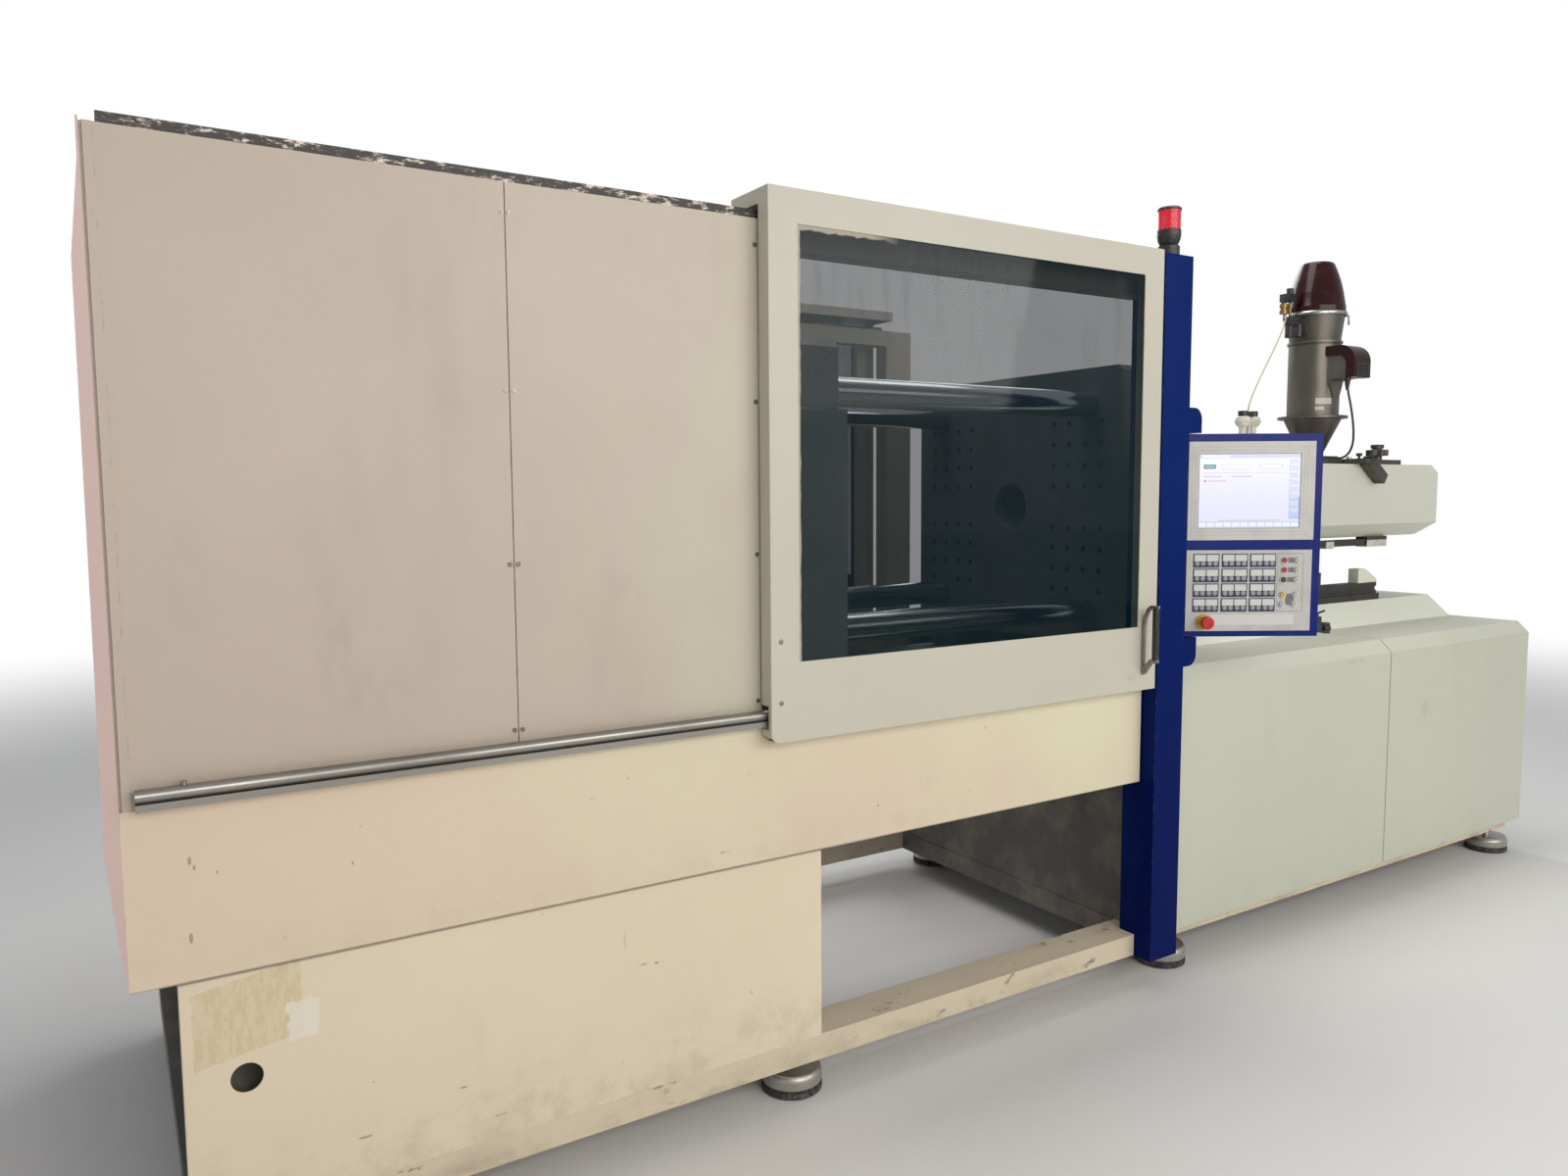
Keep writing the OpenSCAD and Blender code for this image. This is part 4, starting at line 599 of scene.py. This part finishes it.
mat, bsdf, pos = material("case_blue", (0.003, 0.02, 0.20), 0.36, Specular_IOR_Level=0.2)
wipe = pos.noise(9, 5, (1, 1, 0.5), 0.65).above(0.5, 0.8)
wire(bsdf, pos, Base_Color=wipe.mix(rgb(0.0015, 0.014, 0.165), rgb(0.006, 0.024, 0.185)),
     Roughness=0.32 + wipe * 0.18, Height=(pos.noise(600, 2), 0.00008))
give(mat, "panel_case")
soften(0.0025, "panel_case")


# Display bezel: a moulded frame of pale grey plastic in the upper half of the case, with two
# fine grooves round the display and a dark gap at its edge.
def frame_line(a, b, low, high, inset, width=0.0012):
    """1 on a thin rectangle round the box from low to high, inset metres outside it."""
    a0, b0, a1, b1 = low[0] - inset, low[1] - inset, high[0] + inset, high[1] + inset
    outer = a.between(a0 - width, a1 + width) * b.between(b0 - width, b1 + width)
    return outer - a.between(a0, a1) * b.between(b0, b1)


lo, hi = panel_box("display_screen")
mat, bsdf, pos = material("bezel_plastic", (0.50, 0.49, 0.47), 0.45)
u, v, z = panel_axes(pos)
tone = pos.noise(12, 4).above(0.35, 0.7)
tone = tone.mix(rgb(0.58, 0.57, 0.53), rgb(0.51, 0.50, 0.46))
for inset, dark in ((0.0, 0.9), (0.011, 0.35), (0.021, 0.3)):
    line = frame_line(u, z, (lo[0], lo[2]), (hi[0], hi[2]), inset)
    tone = (line * dark).mix(tone, rgb(0.03, 0.03, 0.03))
wire(bsdf, pos, Base_Color=tone, Height=(pos.noise(1100, 2), 0.00006))
give(mat, "display_bezel")

# Keypad plate: a foil on a steel plate, printed with an outline and links round the right-hand
# keys, and with a bare white strip beside the stop button. It is set into the case. Places on
# it are metres from its upper left corner.
lo, hi = panel_box("keypad_plate")
mat, bsdf, pos = material("keypad_foil", (0.42, 0.42, 0.41), 0.45)
u, v, z = panel_axes(pos)
tone = pos.noise(14, 4).above(0.35, 0.7)
tone = tone.mix(rgb(0.53, 0.52, 0.485), rgb(0.46, 0.45, 0.42))
ku, kz = u - lo[0], hi[2] - z
outline = frame_line(ku, kz, (0.282, 0.012), (0.360, 0.190), 0.0)
KEY_PITCH = 0.030
rows = ((kz - 0.017) / KEY_PITCH).repeat(1.0).between(0.25, 0.75)
link = ku.between(0.302, 0.342) * kz.between(0.024, 0.100) * rows
link = link + ku.between(0.308, 0.334) * kz.between(0.136, 0.171)
tone = (outline * 0.8).mix(tone, rgb(0.05, 0.05, 0.06))
tone = link.mix(tone, rgb(0.16, 0.16, 0.17))
strip = ku.between(0.078, 0.336) * kz.between(0.199, 0.232)
wire(bsdf, pos, Base_Color=strip.mix(tone, rgb(0.62, 0.61, 0.58)), Height=(pos.noise(1100, 2), 0.00006))
give(mat, "keypad_plate")
soften(0.0012, "display_bezel", "keypad_plate")

# Keys: dark blue frames with white caps above grey round keys; round keys beside them in
# white rings, of which three on the left are red, red and black, and one below is yellow.
mat, bsdf, pos = material("key_rubber", (0.02, 0.03, 0.10), 0.5)
u, v, z = panel_axes(pos)
ku, kz, raised = u - lo[0], hi[2] - z, lo[1] - v
tone = (raised.above(0.0013, 0.0016)).mix(rgb(0.012, 0.022, 0.075), rgb(0.62, 0.62, 0.60))
tone = (raised.above(0.0023, 0.0026)).mix(tone, rgb(0.30, 0.30, 0.31))
right_group = ku.above(0.281, 0.283)
tone = right_group.mix(tone, rgb(0.60, 0.60, 0.58))
white_key, red_key = (0.58, 0.58, 0.56), (0.55, 0.01, 0.02)
round_keys = [(0.302, 0.032, red_key), (0.302, 0.062, red_key), (0.300, 0.092, (0.02, 0.02, 0.022)),
              (0.299, 0.139, (0.80, 0.52, 0.01))]
round_keys += [(cu, cz, white_key) for cu, cz in (
    (0.342, 0.032), (0.341, 0.062), (0.340, 0.092), (0.338, 0.139), (0.297, 0.168), (0.335, 0.168))]
for cu, cz, key in round_keys:
    away = pos.math("SQRT", (ku - cu) * (ku - cu) + (kz - cz) * (kz - cz))
    tone = away.between(0.0074, 0.0088).mix(tone, rgb(0.05, 0.05, 0.06))
    tone = away.between(0.0, 0.0074).mix(tone, rgb(*key))
    tone = away.between(0.0, 0.0026).mix(tone, rgb(0.06, 0.06, 0.07))
wire(bsdf, pos, Base_Color=tone, Height=(pos.noise(900, 2), 0.00005))
give(mat, "keypad_keys")

# Display: a glass front that is lit from behind. It shows plain fields, tabs and a column of
# buttons, with no words.
lo, hi = panel_box("display_screen")
mat, bsdf, pos = material("display_glass", (0.10, 0.10, 0.12), 0.15, Emission_Strength=0.93)
u, v, z = panel_axes(pos)
s, t = (u - lo[0]) / (hi[0] - lo[0]), (z - lo[2]) / (hi[2] - lo[2])


def field(tone, left, low, right, high, colour):
    """A plain rectangle on the display, in parts of its width and height."""
    return (s.between(left, right) * t.between(low, high)).mix(tone, rgb(*colour))


tone = t.above(0.0, 1.0).mix(rgb(0.76, 0.77, 0.97), rgb(0.84, 0.85, 1.0))
tone = field(tone, 0.0, 0.945, 1.0, 1.0, (0.60, 0.63, 0.80))
tone = field(tone, 0.03, 0.955, 0.30, 0.985, (0.80, 0.82, 0.95))
tone = field(tone, 0.045, 0.80, 0.165, 0.86, (0.02, 0.16, 0.16))
tone = field(tone, 0.06, 0.815, 0.15, 0.845, (0.10, 0.50, 0.42))
tone = field(tone, 0.22, 0.80, 0.50, 0.86, (0.45, 0.46, 0.62))
tone = field(tone, 0.225, 0.806, 0.495, 0.854, (0.93, 0.93, 1.0))
tone = field(tone, 0.60, 0.80, 0.82, 0.86, (0.45, 0.46, 0.62))
tone = field(tone, 0.605, 0.806, 0.815, 0.854, (0.93, 0.93, 1.0))
tone = field(tone, 0.03, 0.745, 0.86, 0.75, (0.45, 0.46, 0.62))
tone = field(tone, 0.05, 0.69, 0.22, 0.705, (0.50, 0.51, 0.66))
tone = field(tone, 0.32, 0.69, 0.52, 0.705, (0.50, 0.51, 0.66))
tone = field(tone, 0.05, 0.625, 0.07, 0.65, (0.60, 0.05, 0.06))
tone = field(tone, 0.085, 0.63, 0.27, 0.643, (0.62, 0.40, 0.50))
tone = field(tone, 0.895, 0.12, 1.0, 0.42, (0.42, 0.55, 0.90))
tone = field(tone, 0.895, 0.42, 0.9, 0.93, (0.40, 0.42, 0.62))
buttons = s.between(0.905, 0.985) * t.between(0.17, 0.93) * (t / 0.095).repeat(1.0).between(0.12, 0.88)
tone = buttons.mix(tone, rgb(0.66, 0.68, 0.84))
tabs = t.between(0.02, 0.075) * (s / 0.0833).repeat(1.0).between(0.06, 0.94)
tone = field(tone, 0.0, 0.0, 1.0, 0.09, (0.55, 0.60, 0.84))
tone = tabs.mix(tone, rgb(0.86, 0.88, 1.0))
marks = t.between(0.095, 0.11) * s.between(0.2, 0.8) * (s / 0.027).repeat(1.0).between(0.3, 0.7)
tone = marks.mix(tone, rgb(0.30, 0.31, 0.45))
wire(bsdf, pos, Emission_Color=tone)
give(mat, "display_screen")

# Stop button: a red moulded mushroom head on a yellow collar that is screwed into the keypad
# plate.
mat, bsdf, pos = material("stop_yellow", (0.85, 0.56, 0.01), 0.35)
tone = pos.noise(60, 3).above(0.4, 0.7)
wire(bsdf, pos, Base_Color=tone.mix(rgb(0.80, 0.50, 0.01), rgb(0.62, 0.36, 0.01)))
give(mat, "estop_collar")

mat, bsdf, pos = material("stop_red", (0.55, 0.015, 0.01), 0.3)
tone = pos.noise(70, 3).above(0.4, 0.7)
wire(bsdf, pos, Base_Color=tone.mix(rgb(0.58, 0.02, 0.012), rgb(0.42, 0.012, 0.01)))
give(mat, "estop_button")


# Injection cabinet: panels of folded sheet steel with a chamfered top edge, which meet in a seam
# at CABINET_SEAM, and the raised cover under the slide rails. Both are coated in greenish cream.
CABINET_SEAM, CABINET_DIRT = 4124, (0.33, 0.29, 0.21)
smudges = (mark(4380, 700, 60, 60, 0.4), mark(3900, 930, 120, 20, 0.4))
mat, bsdf, pos, tone = cream("cabinet_paint", (0.575, 0.585, 0.475), CABINET_DIRT, rough=0.42,
                             smudge=0.2, low=0.13, shift=6.4, marks=smudges)
x, y, z = axes(pos)
seam = x.near(at(CABINET_SEAM, 0, 0).x, 0.004)
wire(bsdf, pos, Base_Color=(seam * 0.75).mix(tone, rgb(0.06, 0.05, 0.045)))
give(mat, "cabinet_panels")

# The raised cover faces up and takes the cabinet's cream much lighter: painted light.
mat, bsdf, pos, tone = cream("riser_paint", (0.780, 0.800, 0.670), CABINET_DIRT, rough=0.42,
                             smudge=0.2, low=0.13, shift=8.4)
give(mat, "riser_cover")
soften(0.0018, "cabinet_panels", "riser_cover")


# Injection housing: a sheet cover with chamfered ends over the barrel, in the same cream; the
# heater bands and the screw drive inside it are bare steel.
mat, bsdf, pos, tone = cream("housing_paint", (0.660, 0.670, 0.575), (0.45, 0.42, 0.34), rough=0.38,
                             smudge=0.12, low=1.30, shift=2.2)
give(mat, "injection_housing")
soften(0.003, "injection_housing")

mat, bsdf, pos = material("band_steel", (0.5, 0.48, 0.45), 0.35, 0.9)
tone = pos.noise(30, 5).above(0.4, 0.7)
wire(bsdf, pos, Base_Color=tone.mix(rgb(0.40, 0.385, 0.36), rgb(0.30, 0.275, 0.24)))
give(mat, "heater_bands", "screw_drive")


# Hopper: spun sheet metal with a brushed grey coat, on a dark machined base plate with its
# knobs; the lid and the blower arm are glossy burgundy mouldings.
HOPPER_X, FLANGE_Z, RING_Z = 4617, 1866, 2195


def hopper_axes(pos):
    """Angle round the hopper, 0 towards the right end and -90 degrees towards the front, and height."""
    x, y, z = axes(pos)
    centre = at(HOPPER_X, MACHINE_MID, 0)
    return pos.math("ARCTAN2", y - centre.y, x - centre.x), z


mat, bsdf, pos = material("hopper_metal", (0.17, 0.155, 0.135), 0.36, 0.6)
angle, z = hopper_axes(pos)
tone = pos.noise(7, 5, (1, 1, 0.4)).above(0.4, 0.7)
tone = tone.mix(rgb(0.140, 0.124, 0.103), rgb(0.090, 0.080, 0.066))
seam = z.near(at(0, 0, FLANGE_Z + 12).z, 0.006) + z.near(at(0, 0, RING_Z - 12).z, 0.004)
tone = (seam * 0.6).mix(tone, rgb(0.04, 0.037, 0.03))
# Two small plates on its front left are left blank.
plates = angle.between(math.radians(-142), math.radians(-104)) * z.between(1.925, 1.951)
plates = plates + angle.between(math.radians(-142), math.radians(-122)) * z.between(1.900, 1.914)
tone = plates.mix(tone, rgb(0.50, 0.49, 0.47))
wire(bsdf, pos, Base_Color=tone, Roughness=0.34 + plates * 0.1, Metallic=0.55 - plates * 0.5,
     Height=(pos.noise(500, 3, (1, 1, 0.1)), 0.0001))
give(mat, "hopper_body")

mat, bsdf, pos = material("hopper_base_steel", (0.06, 0.055, 0.045), 0.42, 0.5)
tone = pos.noise(12, 6, rough=0.7).above(0.42, 0.7)
wire(bsdf, pos, Base_Color=tone.mix(rgb(0.085, 0.078, 0.064), rgb(0.035, 0.032, 0.027)),
     Roughness=0.4 + tone * 0.2)
give(mat, "hopper_base")

mat, bsdf, pos = material("burgundy", (0.05, 0.003, 0.006), 0.12, Coat_Weight=0.15, Coat_Roughness=0.05,
                          Specular_IOR_Level=0.2)
tone = pos.noise(18, 4).above(0.4, 0.7)
wire(bsdf, pos, Base_Color=tone.mix(rgb(0.019, 0.0008, 0.0018), rgb(0.028, 0.002, 0.003)),
     Roughness=0.16 + tone * 0.12)
give(mat, "hopper_lid", "blower_arm")


# Clamp ring and over-centre latch: bent from bright steel strip. The ring closes round the neck's
# rim under the lid, and the latch is riveted to it.
def solid(bm, outline, lift):
    """Closes an outline of corner points into a solid by moving a copy of it by lift."""
    low = [bm.verts.new(p) for p in outline]
    high = [bm.verts.new(p + lift) for p in outline]
    bm.faces.new(list(reversed(low)))
    bm.faces.new(high)
    for k, v in enumerate(low):
        n = (k + 1) % len(low)
        bm.faces.new((v, low[n], high[n], high[k]))


def folded(name, outlines, lift, mat, body, place=Vector((0, 0, 0)), tilt=Matrix.Identity(3),
           round_off=0.0008):
    """A piece of one or more outlines, each given as corners in metres and lifted into a solid, with
    its edges rounded."""
    bm = bmesh.new()
    for outline in outlines:
        solid(bm, [Vector(p) for p in outline], Vector(lift))
    bmesh.ops.recalc_face_normals(bm, faces=bm.faces)
    bmesh.ops.bevel(bm, geom=list(bm.edges), offset=round_off, segments=2, affect="EDGES", profile=0.5)
    mesh = bpy.data.meshes.new(name)
    bm.to_mesh(mesh)
    bm.free()
    return show(name, mesh, mat, body, place, tilt)


mat, bsdf, pos = material("clamp_steel", (0.45, 0.44, 0.42), 0.25, 1.0)
tone = pos.noise(60, 4).above(0.4, 0.7)
wire(bsdf, pos, Base_Color=tone.mix(rgb(0.50, 0.49, 0.46), rgb(0.30, 0.28, 0.25)),
     Roughness=0.22 + tone * 0.15)
RIM_R, NECK_TOP = 122.3, 2310
section = [(RIM_R, -2), (RIM_R + 2, -3), (RIM_R + 4, 1), (RIM_R + 4, 9), (RIM_R + 2, 13), (RIM_R, 12)]
turned("hopper_clamp_ring", section, mat, "injection_carriage", at(HOPPER_X, MACHINE_MID, NECK_TOP),
       ring=True, sides=96)
latch_turn = Matrix.Rotation(math.radians(-38), 3, "Z")
latch = [(0.1262, 0.010), (0.136, 0.012), (0.143, 0.002), (0.141, -0.036), (0.137, -0.036),
         (0.138, 0.000), (0.133, 0.006), (0.1262, 0.004)]
LATCH_WIDTH = 0.018
folded("hopper_latch", [[(a, -LATCH_WIDTH / 2, b) for a, b in latch]], (0, LATCH_WIDTH, 0), mat,
       "injection_carriage", at(HOPPER_X, MACHINE_MID, NECK_TOP), latch_turn)

# Guide slides: white moulded plastic, clipped from below round the two guide bars under the
# housing, a short and a long one on each.
mat, bsdf, pos = material("slide_plastic", (0.6, 0.6, 0.55), 0.45)
tone = pos.noise(40, 4).above(0.4, 0.7)
wire(bsdf, pos, Base_Color=tone.mix(rgb(0.62, 0.61, 0.55), rgb(0.45, 0.43, 0.36)))
BAR_LOW, BAR_Y, SLIDE_ENDS = 1316, (450, 920), ((4340, 4394), (4634, 4784))
clip = [(-26, 22), (-26, -7), (26, -7), (26, 22), (20.3, 22), (20.3, -0.3), (-20.3, -0.3), (-20.3, 22)]
for side, bar_y in enumerate(BAR_Y):
    for i, (x0, x1) in enumerate(SLIDE_ENDS):
        folded(f"guide_slide_{side}_{i}", [[at(x0, bar_y + dy, BAR_LOW + dz) for dy, dz in clip]],
               ((x1 - x0) / 1000, 0, 0), mat, "injection_carriage", round_off=0.001)

# Air grille: a black moulded frame with slats, screwed into the blower's front, through which
# the blower draws its air.
mat, bsdf, pos = material("grille_plastic", (0.02, 0.02, 0.02), 0.5)
tone = pos.noise(200, 3)
wire(bsdf, pos, Base_Color=tone.mix(rgb(0.012, 0.012, 0.012), rgb(0.040, 0.037, 0.034)))
GRILLE_X, GRILLE_Z, GRILLE_Y, RIM, SLAT = (4571, 4663), (2036, 2090), 463.4, 7, 3
(x0, x1), (z0, z1) = GRILLE_X, GRILLE_Z
bars = [(x0, z0, x1, z0 + RIM), (x0, z1 - RIM, x1, z1), (x0, z0 + RIM + 0.2, x0 + RIM, z1 - RIM - 0.2),
        (x1 - RIM, z0 + RIM + 0.2, x1, z1 - RIM - 0.2)]
bars += [(x0 + RIM + 0.2, z, x1 - RIM - 0.2, z + SLAT) for z in range(z0 + 10, z1 - 10, 2 * SLAT)]
folded("blower_grille", [[at(a, GRILLE_Y, b), at(c, GRILLE_Y, b), at(c, GRILLE_Y, d), at(a, GRILLE_Y, d)]
                         for a, b, c, d in bars],
       (0, -0.0022, 0), mat, "injection_carriage", round_off=0.0005)

# Valve block: black coils on a plate that is screwed to the hopper's neck, with turned brass
# bodies above them.
BRASS_LOW, BRASS_HIGH = RING_Z + 116, RING_Z + 166
mat, bsdf, pos = material("valve_black", (0.03, 0.03, 0.03), 0.45)
x, y, z = axes(pos)
brass = z.between(at(0, 0, BRASS_LOW).z, at(0, 0, BRASS_HIGH).z)
tone = pos.noise(60, 3).above(0.4, 0.7)
tone = tone.mix(rgb(0.018, 0.018, 0.019), rgb(0.055, 0.052, 0.048))
wire(bsdf, pos, Base_Color=brass.mix(tone, rgb(0.24, 0.17, 0.06)), Metallic=brass * 0.7,
     Roughness=0.4 - brass * 0.05)
give(mat, "valve_block")

# Air filter: a bowl and head of white plastic, slightly yellowed, with a black cap on top. It
# stands on the housing.
HOUSING_TOP, CAP_UP = 1660, 203
mat, bsdf, pos = material("filter_white", (0.7, 0.69, 0.62), 0.35)
tone = pos.noise(30, 3).above(0.4, 0.7)
x, y, z = axes(pos)
tone = tone.mix(rgb(0.70, 0.68, 0.60), rgb(0.52, 0.47, 0.36))
cap = z.above(at(0, 0, HOUSING_TOP + CAP_UP).z, at(0, 0, HOUSING_TOP + CAP_UP + 1).z)
wire(bsdf, pos, Base_Color=cap.mix(tone, rgb(0.02, 0.02, 0.02)))
give(mat, "air_filter")


# Air tube: thin drawn plastic, yellowed, that hangs from the upper valve's fitting to the one on
# top of the air filter. It takes the place of the source's plain tube.
def curve_tube(name, points, radius, mat):
    """A round cord of a radius in metres along points."""
    data = bpy.data.curves.new(name, "CURVE")
    data.dimensions = "3D"
    data.bevel_depth = radius
    data.bevel_resolution = 5
    data.use_fill_caps = True
    line = data.splines.new("POLY")
    line.points.add(len(points) - 1)
    for p, q in zip(line.points, points):
        p.co = (*q, 1)
    obj = bpy.data.objects.new(name, data)
    obj.data.materials.append(mat)
    bpy.context.scene.collection.objects.link(obj)
    return obj


def run_length(points):
    """Metres along the points."""
    return sum((b - a).length for a, b in zip(points, points[1:]))


mat, bsdf, pos = material("air_tube_plastic", (0.5, 0.44, 0.24), 0.3)
tone = pos.noise(40, 2)
wire(bsdf, pos, Base_Color=tone.mix(rgb(0.52, 0.46, 0.27), rgb(0.40, 0.35, 0.19)))
TUBE_R, TUBE_STEPS = 0.003, 32
start = at(HOPPER_X - 160, MACHINE_MID + 35, RING_Z + 122)
end = at(HOPPER_X - 455, MACHINE_MID, HOUSING_TOP + 222)
pull = Vector((0, 0, 0.090))
points = []
for i in range(TUBE_STEPS + 1):
    t = i / TUBE_STEPS
    u = 1 - t
    points.append(u ** 3 * start + 3 * u * u * t * (start - pull) + 3 * u * t * t * (end + pull)
                  + t ** 3 * end)
air_tube = curve_tube("air_tube_run", points, TUBE_R, mat)
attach(air_tube, "injection_carriage")
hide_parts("air_tube")
run_length(points)


# Blower lead: rubber cable, out of the blower's underside at ARM_Z through a tapered relief, down
# to the base plate at CONE_Z, once round there and into its gland.
def smooth_path(points, steps):
    """Points on a smooth curve through the given ones."""
    out = []
    n = len(points)
    for i in range(n - 1):
        p0, p1, p2, p3 = (points[max(i - 1, 0)], points[i], points[i + 1], points[min(i + 2, n - 1)])
        for k in range(steps):
            t = k / steps
            out.append(0.5 * ((2 * p1) + (p2 - p0) * t + (2 * p0 - 5 * p1 + 4 * p2 - p3) * t * t
                              + (3 * p1 - p0 - 3 * p2 + p3) * t ** 3))
    out.append(points[-1])
    return out


LEAD_R, LOOP_R, LOOP_STEPS, HOPPER_R = 4.5, 50, 13, 105.5
CONE_Z, ARM_Z = 1682, RING_Z - 165
gland = (HOPPER_X - 214, MACHINE_MID - 105, CONE_Z + 16.4)
lead_z = CONE_Z + LEAD_R + 0.1
lead_x, lead_y = HOPPER_X - 45, MACHINE_MID - HOPPER_R - 78.5
drop = lead_z - ARM_Z
fall = [(0, 0, 0), (0, 0, -30), (0, -7, -70), (0, -16, -108), (1, -24, -150), (2, -30, -191), (4, -33, -239),
        (7, -29, -281), (9, -15, drop + 28), (6, 6, drop + 8), (-6, 28, drop + 1.5), (-30, 46, drop)]
route = [(lead_x + dx, lead_y + dy, ARM_Z + dz) for dx, dy, dz in fall]
loop_x, loop_y = gland[0] + 67, gland[1]
route += [(loop_x + 50, loop_y - 12, lead_z), (loop_x + 27, loop_y - 2, lead_z), (loop_x, loop_y, lead_z)]
for i in range(1, LOOP_STEPS + 1):
    a = math.radians(90 + i * 360 / LOOP_STEPS)
    rise = (gland[2] - lead_z) * (i / LOOP_STEPS) ** 2
    route.append((loop_x + LOOP_R * math.cos(a), loop_y - LOOP_R + LOOP_R * math.sin(a), lead_z + rise))
route.append(gland)
points = smooth_path([at(*p) for p in route], 5)
mat, bsdf, pos = material("lead_rubber", (0.012, 0.012, 0.013), 0.5)
dust = pos.noise(90, 3).above(0.45, 0.75)
wire(bsdf, pos, Base_Color=dust.mix(rgb(0.012, 0.012, 0.013), rgb(0.05, 0.047, 0.042)),
     Roughness=0.42 + dust * 0.25)
lead = curve_tube("blower_lead", points, LEAD_R / 1000, mat)
sleeve = [(4.6, -52), (6.0, -51), (6.2, -44), (7.4, -43), (7.6, -36), (8.8, -35), (9.0, -28), (10.2, -27),
          (10.4, -20), (11.6, -19), (11.8, -12), (14, -11), (14, 0)]
relief = turned("lead_relief", sleeve, mat, "injection_carriage", at(lead_x, lead_y, ARM_Z))
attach(lead, "injection_carriage")
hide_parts("blower_cable")
run_length(points)
